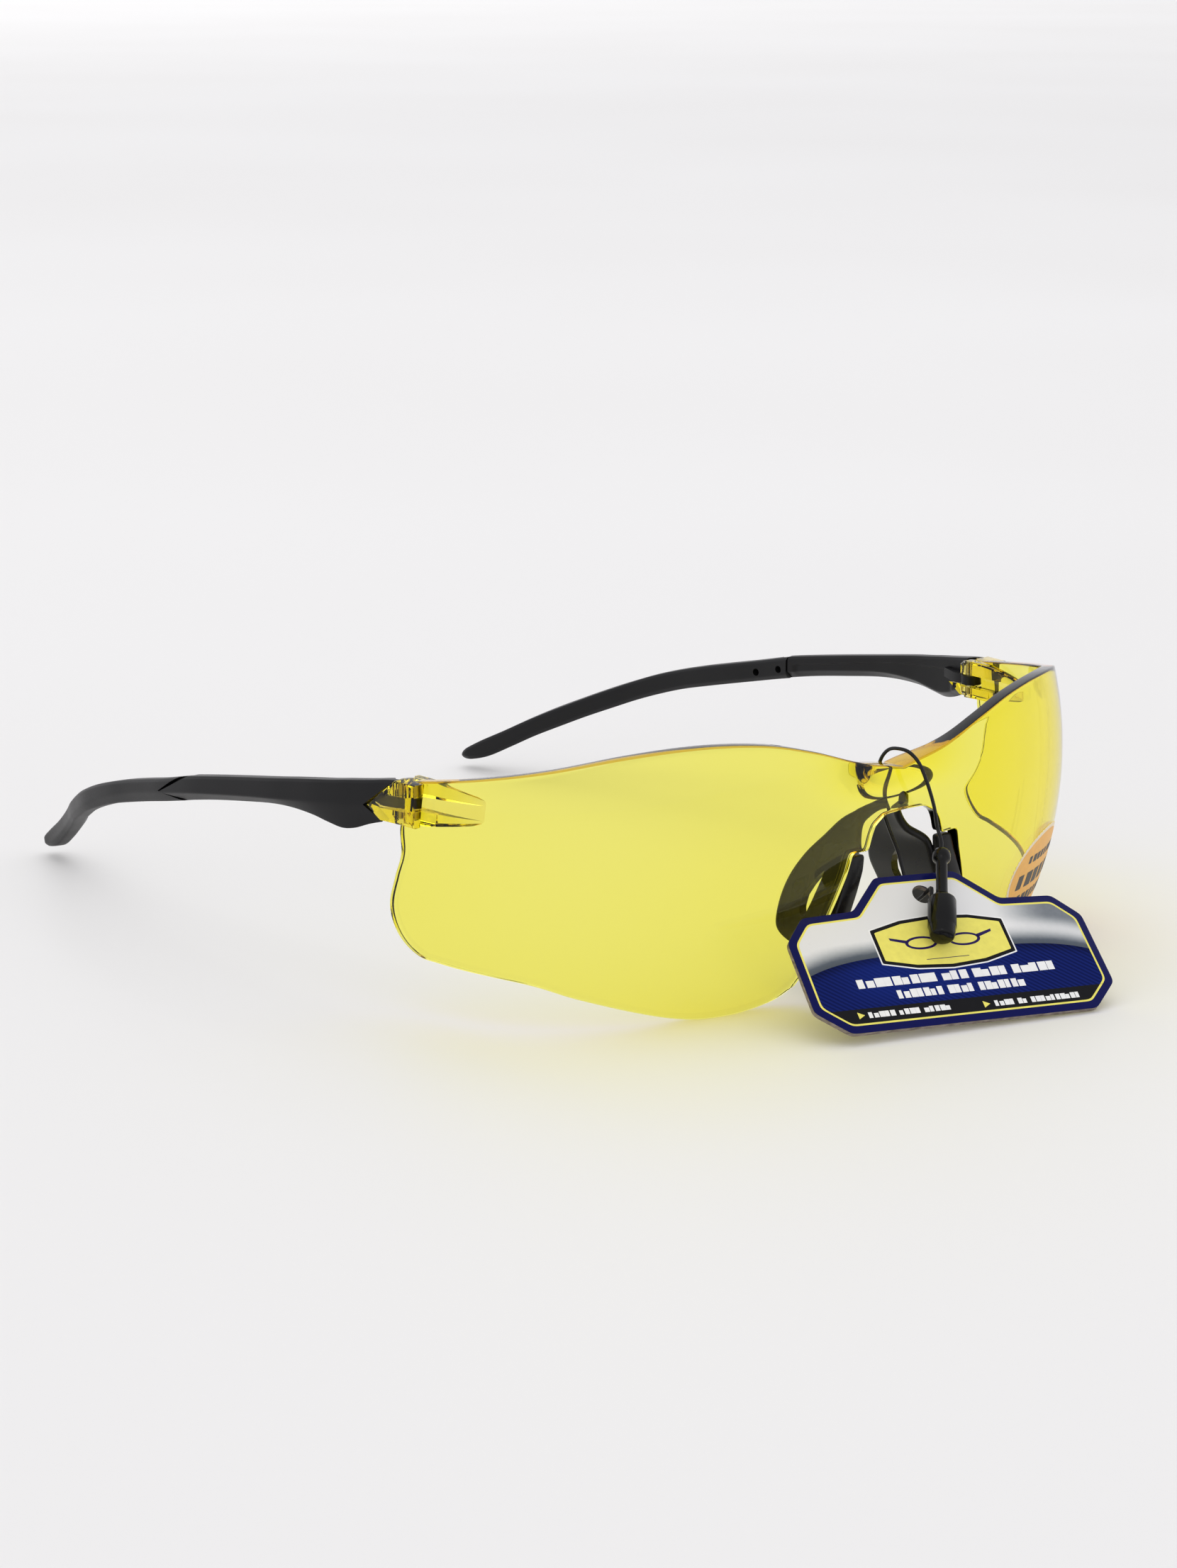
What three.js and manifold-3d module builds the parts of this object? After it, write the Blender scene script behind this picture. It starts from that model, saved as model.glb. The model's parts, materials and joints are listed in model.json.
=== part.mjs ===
// Wrap-around safety glasses with a hang tag on a snap loop.
// Millimetres, +Z up. The wearer looks along -Y, +X is the wearer's left.
import * as THREE from 'three';
import { mergeVertices } from 'three/addons/utils/BufferGeometryUtils.js';
import Module from 'manifold-3d';

const wasm = await Module();
wasm.setup();

// ---- Driving dimensions -------------------------------------------------

const gap = 0.3; // between pieces that touch on the real object

// Lens front surface, seen from above: a shallow dip at the bridge, a long
// gentle arc across each eye and a tighter arc that wraps round to the temple.
const lensFront = { y: -11.28, foreX: 10, dip: 0.5 };
const eyeArc = { radius: 97.2, turn: 0.296 };
const sideArc = { radius: 44.2 };
const bulge = { radius: 66.6, z: 24.4, lean: -0.072 }; // vertical curve and tilt
const lensWall = 2.2;
const brow = { extra: 2.4, halfWidth: 11, lowZ: 33.0, highZ: 35.6 }; // thick top edge at the bridge

// Lens outline for one half, as [distance along the front from the middle, height].
const topEdge = [[0, 36.8], [10, 39.0], [20, 42.1], [30, 44.3], [42, 45.1], [54.5, 44.2],
  [68.5, 41.7], [82, 39.5], [91.2, 38.2]];
const noseEdge = [[0, 29.8], [4.6, 29.7], [7.1, 28.4], [7.9, 26.8], [8.6, 24.5], [12.2, 24.7],
  [13.1, 21.4], [14.6, 17.7], [15.8, 14.7], [17.1, 9.6], [18.2, 5.8], [20, 3.2]];
const lowerEdge = [[20, 3.2], [24.4, 1.1], [32.5, 0], [42.7, 0.8], [59.9, 5.1], [69.2, 7.6],
  [83.7, 9.3], [88.6, 10.0]];
const sideEdge = [[88.6, 10.0], [92.6, 12.9], [94.3, 17.4], [93, 22.7], [91.9, 26.7], [92.6, 31.4],
  [91.2, 38.2]];
const lensGrid = { lowerColumns: 24, rows: 8 };

// Hinge. The pin is vertical; the temple's tongue sits between two lens prongs.
const pin = { x: 66.5, y: 33.1, radius: 0.8, bore: 1.1, bottom: 31.9, top: 38.0 };
const knuckle = { radius: 2.0, bottom: 31.5, top: 38.3 };
const slot = { bottom: 33.4, top: 35.7, depth: 2.35 };
const tongueWidth = 1.9;
const reach = { inner: 40, outer: 90, front: 20, low: 20, high: 60 }; // planes well clear of a temple arm
const lug = { outerX: 70.2, frontY: 27.5, topZ: 38.3, bottomZ: 31.3, noseY: 28.0, topY: 32.4,
  apexY: 38.2, apexZ: 33.6, lowY: 35.5, lowZ: 31.45 };

// Temple arm stations: [y, outer x, top z, ridge z, bottom z, inset of the bottom edge].
const armStations = [[31.0, 70.1, 38.4, 34.8, 32.2, 0.5], [34.8, 70.6, 38.0, 34.2, 31.3, 0.4],
  [38, 71.2, 37.5, 33.7, 30.4, 0.3], [41, 71.7, 37.05, 33.35, 29.3, 0.2], [43.5, 72.1, 36.7, 33.1, 28.9, 0.2],
  [46.7, 72.5, 36.2, 32.8, 29.35, 0.2], [50, 72.8, 35.75, 32.35, 29.9, 0.3],
  [55, 73.0, 35.0, 31.75, 30.15, 0.5],
  [60, 73.2, 34.2, 31.1, 29.9, 0.8], [68, 73.2, 32.95, 30.05, 28.8, 1.0], [76, 73.2, 31.65, 28.9, 27.55, 1.1],
  [82, 73.1, 30.6, 27.95, 26.4, 1.2], [92, 72.3, 28.6, 26.1, 24.2, 1.2]];
const arm = { thickness: 3.3, innerRise: 1.3, topRound: 0.5, edge: 0.4 };
const joint = { y: 81.8, apexY: 90, apexZ: 26.6, topZ: 30.6, bottomZ: 26.4, skinX: 71.4 };

// Temple tip centre line: [x, y, z, half height].
const tipLine = [[71.4, 79, 29.1, 2.05], [71.2, 84.5, 27.9, 2.0], [70.7, 90, 26.65, 1.95],
  [69.7, 96, 25.35, 1.95],
  [68.8, 102, 24.0, 1.95], [68.0, 108, 22.5, 1.9], [66.9, 113.5, 20.8, 1.9], [65.4, 119, 18.75, 1.85],
  [63.2, 124, 16.6, 1.85], [60.7, 129, 14.3, 1.8], [58.1, 133.5, 12.05, 1.8], [55.8, 138, 9.7, 1.75],
  [53.7, 143, 7.0, 1.7], [51.9, 148, 4.2, 1.6], [50.6, 152.4, 1.4, 1.4]];
const tipHalfWidth = 1.7;
const tipCorner = 0.55; // edge bevel across the section
const tipEnd = 0.62; // share of the section left at the very end
const tipHoles = { radius: 0.6, depth: 1.2, x: 69.5, places: [[84.0, 27.9], [89.4, 26.6]] };

// Nose pad wing: front edge and rear edge from the top stub down, for the +X pad.
const padFront = [[1.8, -7.0, 29.8], [3.2, -6.7, 29.5], [4.7, -5.5, 27.4], [6.2, -6.2, 24.9],
  [8.3, -8.8, 22.9], [9.5, -9.3, 19.2], [11.5, -9.0, 15.0], [13.2, -8.5, 11.5], [14.2, -7.6, 9.0]];
const padRear = [[2.0, -7.0, 32.5], [3.6, -6.0, 31.8], [5.1, -2.5, 28.8], [6.8, 0.8, 24.8],
  [8.0, 3.6, 21.4], [9.8, 5.4, 17.6], [12.1, 5.5, 13.6], [13.6, 4.6, 10.0], [13.9, 2.2, 7.4]];
const padWall = 1.4;
const padSlot = { y: -0.15, lean: 0.3, halfWidth: 1.9, top: 20.6, bottom: 12.2 };
const padFlange = { front: -10.5, back: -8.9,
  inner: [[8.7, 23.9], [9.0, 21.2], [10.4, 17.6], [12.0, 14.2], [13.6, 10.4]],
  outer: [[11.95, 23.9], [12.65, 21.4], [14.15, 17.7], [15.35, 14.7], [16.35, 10.4]] };

// Sticker on the wearer's left lens: an oval in the lens outline's own terms.
const sticker = { along: 45.5, z: 10.3, halfAlong: 13.6, halfZ: 8.0, lift: 0.25, thickness: 0.2 };

// Hang tag: half widths at heights up the card, the punched hole and its pose.
const tagOutline = [[22.1, 0], [27.1, 4.5], [26.8, 17.7], [22.8, 22], [13.4, 22.4], [7.3, 28.4]];
const tagHole = { height: 24.4, radius: 1.75 };
const tagThickness = 0.6;
const tagPose = { x: -7.7, y: -33.6, z: 1.0, yaw: -16.3, tilt: 50.1, roll: -2.7 };

// Snap lock on the loop, laid on the card: barrel foot and eye end in card terms.
const lock = { foot: [-1.6, 14.2], eye: [5.0, 30.8], lift: 3.25, barrel: 7.6, barrelRadius: 2.3, floor: 1.4,
  pinRadius: 0.95, bore: 1.3, eyeRadius: 1.5, eyeHeight: 2.2, edge: 0.4 };
const loopRadius = 0.3;
const loopRoute = [[5.3, -13.3, 26.2], [4.0, -13.6, 30.0], [2.0, -13.4, 35.0], [0.9, -12.6, 37.9],
  [0.5, -11.0, 39.2], [0.4, -9.0, 39.4], [0.5, -6.8, 38.9], [0.6, -5.1, 37.2], [0.5, -4.4, 34.5],
  [0.4, -4.6, 31.6], [0.8, -5.5, 28.4], [1.0, -7.0, 25.2], [0.4, -9.4, 22.2], [-0.5, -11.4, 19.4], [-0.9, -12.6, 17.0],
  [-1.0, -14.0, 15.5], [-1.3, -15.9, 16.45], [-1.6, -17.9, 18.3]];

// ---- Helpers ------------------------------------------------------------

function closedGeometry(positions, indices) {
  const geometry = new THREE.BufferGeometry();
  geometry.setAttribute('position', new THREE.Float32BufferAttribute(positions, 3));
  geometry.setIndex(indices);
  return geometry;
}

// Six times the enclosed volume, negative when the faces point inwards.
function signedVolume(geometry) {
  const place = geometry.getAttribute('position');
  const index = geometry.getIndex();
  const corners = [new THREE.Vector3(), new THREE.Vector3(), new THREE.Vector3()];
  let sum = 0;
  for (let i = 0; i < index.count; i += 3) {
    corners.forEach((corner, k) => corner.fromBufferAttribute(place, index.getX(i + k)));
    sum += corners[0].dot(corners[1].clone().cross(corners[2]));
  }
  return sum;
}

function flipFaces(geometry) {
  const index = Array.from(geometry.getIndex().array);
  for (let i = 0; i < index.length; i += 3) [index[i], index[i + 1]] = [index[i + 1], index[i]];
  geometry.setIndex(index);
  return geometry;
}

function toSolid(geometry) {
  const bare = geometry.clone();
  bare.deleteAttribute('normal');
  bare.deleteAttribute('uv');
  const merged = mergeVertices(bare, 1e-4);
  if (signedVolume(merged) < 0) flipFaces(merged);
  const vertProperties = new Float32Array(merged.getAttribute('position').array);
  const triVerts = new Uint32Array(merged.getIndex().array);
  return new wasm.Manifold(new wasm.Mesh({ numProp: 3, vertProperties, triVerts }));
}

function fromSolid(solid) {
  const mesh = solid.getMesh();
  return closedGeometry(Array.from(mesh.vertProperties), Array.from(mesh.triVerts));
}

function mirrorX(geometry) {
  const flipped = geometry.clone();
  const place = flipped.getAttribute('position');
  for (let i = 0; i < place.count; i++) place.setX(i, -place.getX(i));
  return flipFaces(flipped);
}

// Joins rings of equal length into a closed tube with flat fans at both ends.
function loft(rings) {
  const size = rings[0].length;
  const positions = rings.flat(2);
  const indices = [];
  for (let r = 0; r + 1 < rings.length; r++) {
    for (let i = 0; i < size; i++) {
      const a = r * size + i;
      const b = r * size + (i + 1) % size;
      indices.push(a, b, b + size, a, b + size, a + size);
    }
  }
  const last = (rings.length - 1) * size;
  for (let i = 1; i + 1 < size; i++) {
    indices.push(0, i + 1, i);
    indices.push(last, last + i, last + i + 1);
  }
  return closedGeometry(positions, indices);
}

// A closed sheet: front(i, j) and back(i, j) grids joined round their rim.
function slab(columns, rows, front, back) {
  const positions = [];
  const indices = [];
  const at = (side, i, j) => side * (columns + 1) * (rows + 1) + i * (rows + 1) + j;
  for (const side of [front, back]) {
    for (let i = 0; i <= columns; i++) {
      for (let j = 0; j <= rows; j++) positions.push(...side(i, j));
    }
  }
  const quad = (a, b, c, d) => indices.push(a, b, c, a, c, d);
  for (let i = 0; i < columns; i++) {
    for (let j = 0; j < rows; j++) {
      quad(at(0, i, j), at(0, i + 1, j), at(0, i + 1, j + 1), at(0, i, j + 1));
      quad(at(1, i, j), at(1, i, j + 1), at(1, i + 1, j + 1), at(1, i + 1, j));
    }
    quad(at(0, i, 0), at(1, i, 0), at(1, i + 1, 0), at(0, i + 1, 0));
    quad(at(0, i, rows), at(0, i + 1, rows), at(1, i + 1, rows), at(1, i, rows));
  }
  for (let j = 0; j < rows; j++) {
    quad(at(0, 0, j), at(0, 0, j + 1), at(1, 0, j + 1), at(1, 0, j));
    quad(at(0, columns, j), at(1, columns, j), at(1, columns, j + 1), at(0, columns, j + 1));
  }
  return closedGeometry(positions, indices);
}

// Pushes an outline in (y, z) along X between two planes.
function prismAlongX(outline, fromX, toX) {
  const shape = new THREE.Shape(outline.map(([y, z]) => new THREE.Vector2(y, z)));
  const geometry = new THREE.ExtrudeGeometry(shape, { depth: toX - fromX, bevelEnabled: false });
  geometry.applyMatrix4(new THREE.Matrix4().set(0, 0, 1, fromX, 1, 0, 0, 0, 0, 1, 0, 0, 0, 0, 0, 1));
  return geometry;
}

function box(low, high) {
  const geometry = new THREE.BoxGeometry(high[0] - low[0], high[1] - low[1], high[2] - low[2]);
  return geometry.translate((low[0] + high[0]) / 2, (low[1] + high[1]) / 2, (low[2] + high[2]) / 2);
}

function post(x, y, radius, bottom, top) {
  const geometry = new THREE.CylinderGeometry(radius, radius, top - bottom, 20);
  return geometry.rotateX(Math.PI / 2).translate(x, y, (bottom + top) / 2);
}

function smoothPath(points) {
  return new THREE.CatmullRomCurve3(points.map((p) => new THREE.Vector3(...p)), false, 'centripetal');
}

// ---- Lens ---------------------------------------------------------------

// Plan position and turn of the front surface at a distance from the middle.
function lensPlan(along) {
  const side = Math.sign(along) || 1;
  const w = Math.abs(along);
  const eyeEnd = lensFront.foreX + eyeArc.radius * eyeArc.turn;
  let x = w;
  let y = lensFront.y;
  let turn = 0;
  if (w < lensFront.foreX) {
    const q = (w / lensFront.foreX) ** 2;
    y += lensFront.dip * (1 - q) ** 2;
    turn = Math.atan(-4 * lensFront.dip * w * (1 - q) / lensFront.foreX ** 2);
  } else if (w < eyeEnd) {
    turn = (w - lensFront.foreX) / eyeArc.radius;
    x = lensFront.foreX + eyeArc.radius * Math.sin(turn);
    y += eyeArc.radius * (1 - Math.cos(turn));
  } else {
    turn = eyeArc.turn + (w - eyeEnd) / sideArc.radius;
    x = lensFront.foreX + eyeArc.radius * Math.sin(eyeArc.turn)
      + sideArc.radius * (Math.sin(turn) - Math.sin(eyeArc.turn));
    y += eyeArc.radius * (1 - Math.cos(eyeArc.turn))
      + sideArc.radius * (Math.cos(eyeArc.turn) - Math.cos(turn));
  }
  return { x: side * x, y, turn: side * turn };
}

function lensPoint(along, z, inward) {
  const { x, y, turn } = lensPlan(along);
  const depth = (z - bulge.z) ** 2 / (2 * bulge.radius) + inward;
  return [x - Math.sin(turn) * depth, y + Math.cos(turn) * depth + bulge.lean * (z - bulge.z), z];
}

function lensDepth(along, z) {
  const rise = THREE.MathUtils.smoothstep(z, brow.lowZ, brow.highZ);
  return lensWall + brow.extra * Math.exp(-((along / brow.halfWidth) ** 2)) * rise;
}

function pathThrough(points) {
  return new THREE.SplineCurve(points.map(([a, b]) => new THREE.Vector2(a, b)));
}

// Bottom points run along the nose edge and the lower edge, top points above them.
function lensColumns() {
  const { lowerColumns } = lensGrid;
  const lower = pathThrough(lowerEdge);
  const top = pathThrough(topEdge);
  const bottoms = noseEdge.slice(0, -1).map(([a, b]) => new THREE.Vector2(a, b));
  for (let i = 0; i <= lowerColumns; i++) bottoms.push(lower.getPointAt(i / lowerColumns));
  const nosePart = 0.21;
  const count = bottoms.length - 1;
  const tops = bottoms.map((_, i) => {
    const noseCount = noseEdge.length - 1;
    const beyond = (i - noseCount) / (count - noseCount);
    return top.getPointAt(i < noseCount ? nosePart * i / noseCount : nosePart + (1 - nosePart) * beyond);
  });
  return { bottoms, tops, count };
}

// Blends the four edges of one half so that grid lines follow the outline.
function lensLayout() {
  const { bottoms, tops, count } = lensColumns();
  const side = pathThrough(sideEdge);
  const rows = lensGrid.rows;
  const cell = (i, j) => {
    const u = i / count;
    const v = j / rows;
    const middle = new THREE.Vector2(0, THREE.MathUtils.lerp(bottoms[0].y, tops[0].y, v));
    const edge = side.getPointAt(v);
    const flat = bottoms[i].clone().lerp(tops[i], v);
    const ends = middle.lerp(edge, u);
    const corners = bottoms[0].clone().lerp(tops[0], v).lerp(bottoms[count].clone().lerp(tops[count], v), u);
    return flat.add(ends).sub(corners);
  };
  return { cell, count, rows };
}

function lensShell() {
  const { cell, count, rows } = lensLayout();
  const place = (i, j, share) => {
    const half = Math.abs(i - count);
    const spot = cell(half, j);
    const along = i < count ? -spot.x : spot.x;
    return lensPoint(along, spot.y, share * lensDepth(along, spot.y));
  };
  return slab(2 * count, rows, (i, j) => place(i, j, 0), (i, j) => place(i, j, 1));
}

function lugSolid() {
  const { outerX, frontY, topZ, bottomZ, noseY, topY, apexY, apexZ, lowY, lowZ } = lug;
  const profile = [[noseY, topZ - 0.1], [topY, topZ], [apexY, apexZ], [lowY, lowZ], [noseY, bottomZ]];
  const wedge = toSolid(prismAlongX(profile, pin.x, outerX));
  const round = toSolid(post(pin.x, pin.y, knuckle.radius, knuckle.bottom, knuckle.top));
  const web = toSolid(box([pin.x - knuckle.radius, frontY, knuckle.bottom], [pin.x + 1, pin.y, knuckle.top]));
  return wedge.add(round).add(web);
}

// The slot for the temple's tongue and the bore for the pin.
function lugCuts() {
  const open = 12;
  const low = [pin.x - open, pin.y - slot.depth, slot.bottom];
  const high = [pin.x + slot.depth, pin.y + open, slot.top];
  const bore = toSolid(post(pin.x, pin.y, pin.bore, knuckle.bottom - 1, knuckle.top + 1));
  return toSolid(box(low, high)).add(bore);
}

function lensGeometry() {
  const lugs = lugSolid();
  const cuts = lugCuts();
  const right = toSolid(mirrorX(fromSolid(lugs)));
  const rightCuts = toSolid(mirrorX(fromSolid(cuts)));
  return fromSolid(toSolid(lensShell()).add(lugs).add(right).subtract(cuts).subtract(rightCuts));
}

// ---- Temples (wearer's left, mirrored for the right) ---------------------

function armSection([y, outer, top, ridge, bottom, inset]) {
  const inner = outer - arm.thickness;
  const { topRound, edge, innerRise } = arm;
  return [[outer - topRound, y, top], [inner + edge, y, top], [inner, y, top - topRound],
    [inner, y, bottom + innerRise], [outer - inset - 2 * edge, y, bottom + edge / 2], [outer - inset, y, bottom],
    [outer, y, ridge], [outer, y, top - topRound]];
}

// The outer skin's pointed end, which laps over the tip.
function lapProfile(grow) {
  const { y, apexY, apexZ, topZ, bottomZ } = joint;
  const start = y - 22;
  const above = topZ + 9;
  const below = bottomZ - 9;
  const slack = 0.2 + grow;
  return [[start, below], [y + grow, below], [y + grow, bottomZ - slack], [apexY + grow, apexZ],
    [y + grow, topZ + slack], [y + grow, above], [start, above]];
}

// The arm's V-shaped mouth: the lug's outline with clearance, open towards the front.
function mouthProfile() {
  const clear = gap + 0.1;
  const { front, low, high } = reach;
  return [[front, high], [lug.topY + gap, high], [lug.topY + clear, lug.topZ], [lug.apexY + clear, lug.apexZ],
    [lug.lowY + clear, lug.lowZ], [lug.lowY - 0.3, low], [front, low]];
}

function armGeometry() {
  const { inner, outer, front, low, high } = reach;
  const blade = toSolid(loft(armStations.map(armSection)));
  const core = toSolid(box([inner, front, low], [joint.skinX, joint.y, high]));
  const skin = toSolid(box([joint.skinX - 1, front, low], [outer, joint.y, high]));
  const lap = toSolid(prismAlongX(lapProfile(0), joint.skinX, outer));
  const mouth = toSolid(prismAlongX(mouthProfile(), inner, outer));
  const swing = toSolid(post(pin.x, pin.y, knuckle.radius + gap + 0.1, low, high));
  const tongueLow = slot.bottom + gap;
  const tongueHigh = slot.top - gap;
  const disc = toSolid(post(pin.x, pin.y, tongueWidth, tongueLow, tongueHigh));
  const web = toSolid(box([pin.x - 1.2, pin.y, tongueLow], [pin.x + tongueWidth, pin.y + 7.5, tongueHigh]));
  const bore = toSolid(post(pin.x, pin.y, pin.bore, low, high));
  const body = blade.intersect(core.add(skin).add(lap)).subtract(mouth).subtract(swing);
  return fromSolid(body.add(disc).add(web).subtract(bore));
}

function tipSections() {
  const path = smoothPath(tipLine.map(([x, y, z]) => [x, y, z]));
  const steps = 30;
  const last = tipLine.length - 1;
  const rings = [];
  for (let i = 0; i <= steps; i++) {
    const t = i / steps;
    const centre = path.getPoint(t);
    const along = path.getTangent(t);
    const outward = new THREE.Vector3(along.y, -along.x, 0).normalize();
    const up = new THREE.Vector3().crossVectors(outward, along).normalize();
    const station = Math.min(Math.floor(t * last), last - 1);
    const half = THREE.MathUtils.lerp(tipLine[station][3], tipLine[station + 1][3], t * last - station);
    const fade = i === steps ? tipEnd : 1;
    const w = tipHalfWidth * fade;
    const h = half * fade;
    const ring = [[w, h - tipCorner], [w, tipCorner - h], [w - tipCorner, -h], [tipCorner - w, -h],
      [-w, tipCorner - h], [-w, h - tipCorner], [tipCorner - w, h], [w - tipCorner, h]];
    const corner = ([a, b]) => centre.clone().addScaledVector(outward, a).addScaledVector(up, b).toArray();
    rings.push(ring.map(corner));
  }
  return rings;
}

function tipGeometry() {
  const bar = toSolid(loft(tipSections()));
  const { inner, outer, front, low, high } = reach;
  const inside = toSolid(box([inner, front, low], [joint.skinX, joint.y + gap, high]));
  const lap = toSolid(prismAlongX(lapProfile(gap), joint.skinX - gap, outer));
  let tip = bar.subtract(inside.add(lap));
  for (const [y, z] of tipHoles.places) {
    const hole = new THREE.CylinderGeometry(tipHoles.radius, tipHoles.radius, 2 * tipHoles.depth, 12);
    tip = tip.subtract(toSolid(hole.rotateZ(Math.PI / 2).translate(tipHoles.x, y, z)));
  }
  return fromSolid(tip);
}

// ---- Nose pads ----------------------------------------------------------

function padWing() {
  const columns = 16;
  const rows = 4;
  const front = smoothPath(padFront);
  const rear = smoothPath(padRear);
  const spot = (i, j) => front.getPoint(i / columns).lerp(rear.getPoint(i / columns), j / rows);
  const facing = (i, j) => {
    const down = spot(Math.min(i + 1, columns), j).sub(spot(Math.max(i - 1, 0), j));
    const across = spot(i, rows).sub(spot(i, 0));
    return across.cross(down).normalize();
  };
  const side = (share) => (i, j) => spot(i, j).addScaledVector(facing(i, j), share * padWall).toArray();
  return slab(columns, rows, side(-0.5), side(0.5));
}

function padFlangeSolid() {
  const { inner, outer, front, back } = padFlange;
  const loop = inner.concat([...outer].reverse());
  const shape = new THREE.Shape(loop.map(([x, z]) => new THREE.Vector2(x, z)));
  const plate = new THREE.ExtrudeGeometry(shape, { depth: back - front, bevelEnabled: false });
  plate.applyMatrix4(new THREE.Matrix4().set(1, 0, 0, 0, 0, 0, -1, back, 0, 1, 0, 0, 0, 0, 0, 1));
  return toSolid(plate);
}

function padGeometry() {
  const { y, lean, halfWidth, top, bottom } = padSlot;
  const shape = new THREE.Shape();
  shape.absarc(y, top - halfWidth, halfWidth, 0, Math.PI);
  shape.absarc(y - lean, bottom + halfWidth, halfWidth, Math.PI, 2 * Math.PI);
  const cutter = new THREE.ExtrudeGeometry(shape, { depth: 20, bevelEnabled: false, curveSegments: 6 });
  cutter.applyMatrix4(new THREE.Matrix4().set(0, 0, 1, 2, 1, 0, 0, 0, 0, 1, 0, 0, 0, 0, 0, 1));
  return fromSolid(toSolid(padWing()).add(padFlangeSolid()).subtract(toSolid(cutter)));
}

// ---- Sticker ------------------------------------------------------------

function stickerGeometry() {
  const columns = 14;
  const rows = 6;
  const place = (i, j, lift) => {
    const angle = Math.PI * (i / columns - 0.5) * 0.94;
    const halfHeight = Math.cos(angle) * sticker.halfZ;
    const along = sticker.along + sticker.halfAlong * Math.sin(angle);
    return lensPoint(along, sticker.z + halfHeight * (2 * j / rows - 1), -lift);
  };
  const { lift, thickness } = sticker;
  return slab(columns, rows, (i, j) => place(i, j, lift + thickness), (i, j) => place(i, j, lift));
}

// ---- Hang tag and its snap loop ------------------------------------------

const cardFrame = (() => {
  const yaw = THREE.MathUtils.degToRad(tagPose.yaw);
  const tilt = THREE.MathUtils.degToRad(tagPose.tilt);
  const roll = THREE.MathUtils.degToRad(tagPose.roll);
  const level = new THREE.Vector3(Math.cos(yaw), Math.sin(yaw), 0);
  const ahead = new THREE.Vector3(Math.sin(yaw), -Math.cos(yaw), 0);
  const rise = ahead.clone().multiplyScalar(-Math.sin(tilt)).add(new THREE.Vector3(0, 0, Math.cos(tilt)));
  const across = level.clone().multiplyScalar(Math.cos(roll)).addScaledVector(rise, Math.sin(roll));
  const up = rise.clone().multiplyScalar(Math.cos(roll)).addScaledVector(level, -Math.sin(roll));
  const out = new THREE.Vector3().crossVectors(across, up);
  const origin = new THREE.Vector3(tagPose.x, tagPose.y, tagPose.z);
  return { across, up, out, origin };
})();

function onCard(a, b, lift) {
  const { across, up, out, origin } = cardFrame;
  return origin.clone().addScaledVector(across, a).addScaledVector(up, b).addScaledVector(out, lift);
}

function tagGeometry() {
  const right = tagOutline.map(([a, b]) => new THREE.Vector2(a, b));
  const left = tagOutline.map(([a, b]) => new THREE.Vector2(-a, b)).reverse();
  const shape = new THREE.Shape(right.concat(left));
  const hole = new THREE.Path().absarc(0, tagHole.height, tagHole.radius, 0, 2 * Math.PI, true);
  shape.holes.push(hole);
  return new THREE.ExtrudeGeometry(shape, { depth: tagThickness, bevelEnabled: false, curveSegments: 10 });
}

function turned(profile) {
  return new THREE.LatheGeometry(profile.map(([r, h]) => new THREE.Vector2(r, h)), 16);
}

const lockFoot = onCard(lock.foot[0], lock.foot[1], lock.lift);
const lockEye = onCard(lock.eye[0], lock.eye[1], lock.lift);
const lockLength = lockFoot.distanceTo(lockEye);
const lockAxis = lockEye.clone().sub(lockFoot).normalize();

function barrelGeometry() {
  const { barrel, barrelRadius: r, bore, floor, edge } = lock;
  return turned([[0, 0], [r - edge, 0], [r, edge], [r, barrel - edge], [r - edge, barrel], [bore, barrel],
    [bore, floor], [0, floor]]);
}

function lockPinGeometry() {
  const { pinRadius, floor, eyeRadius, eyeHeight, edge } = lock;
  const bottom = floor + gap;
  return turned([[0, bottom], [pinRadius, bottom], [pinRadius, lockLength - eyeHeight],
    [eyeRadius, lockLength - eyeHeight + edge], [eyeRadius, lockLength - edge],
    [eyeRadius - 2 * edge, lockLength], [0, lockLength]]);
}

function loopGeometry() {
  const axis = lockAxis;
  const start = lockEye.clone().addScaledVector(axis, gap);
  const lead = start.clone().addScaledVector(axis, 0.9).add(new THREE.Vector3(0, 0, 0.5));
  const aside = onCard(0, tagHole.height, lock.lift).sub(lockFoot);
  aside.addScaledVector(axis, -aside.dot(axis)).normalize();
  const rim = lockFoot.clone().addScaledVector(axis, lock.barrel + gap).addScaledVector(aside, 1.75);
  const above = rim.clone().addScaledVector(axis, 1.6);
  const points = [start, lead, ...loopRoute.map((p) => new THREE.Vector3(...p)), above, rim];
  const path = new THREE.CatmullRomCurve3(points, false, 'centripetal');
  const section = new THREE.Shape();
  for (let i = 0; i < 8; i++) {
    const angle = i * Math.PI / 4;
    section[i ? 'lineTo' : 'moveTo'](loopRadius * Math.cos(angle), loopRadius * Math.sin(angle));
  }
  return new THREE.ExtrudeGeometry(section, { steps: 70, extrudePath: path, bevelEnabled: false });
}

// ---- Materials and assembly ----------------------------------------------

const finish = {
  lens: new THREE.MeshStandardMaterial({ color: 0xe3dc44, roughness: 0.06, transparent: true, opacity: 0.55 }),
  temple: new THREE.MeshStandardMaterial({ color: 0x1c1c1e, roughness: 0.55 }),
  pad: new THREE.MeshStandardMaterial({ color: 0x101011, roughness: 0.35 }),
  metal: new THREE.MeshStandardMaterial({ color: 0x9a9a98, roughness: 0.35, metalness: 1 }),
  sticker: new THREE.MeshStandardMaterial({ color: 0xf6b95e, roughness: 0.5 }),
  card: new THREE.MeshStandardMaterial({ color: 0x2b3f95, roughness: 0.4 }),
  loop: new THREE.MeshStandardMaterial({ color: 0x0c0c0d, roughness: 0.3 }),
};

const glasses = new THREE.Group();

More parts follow.
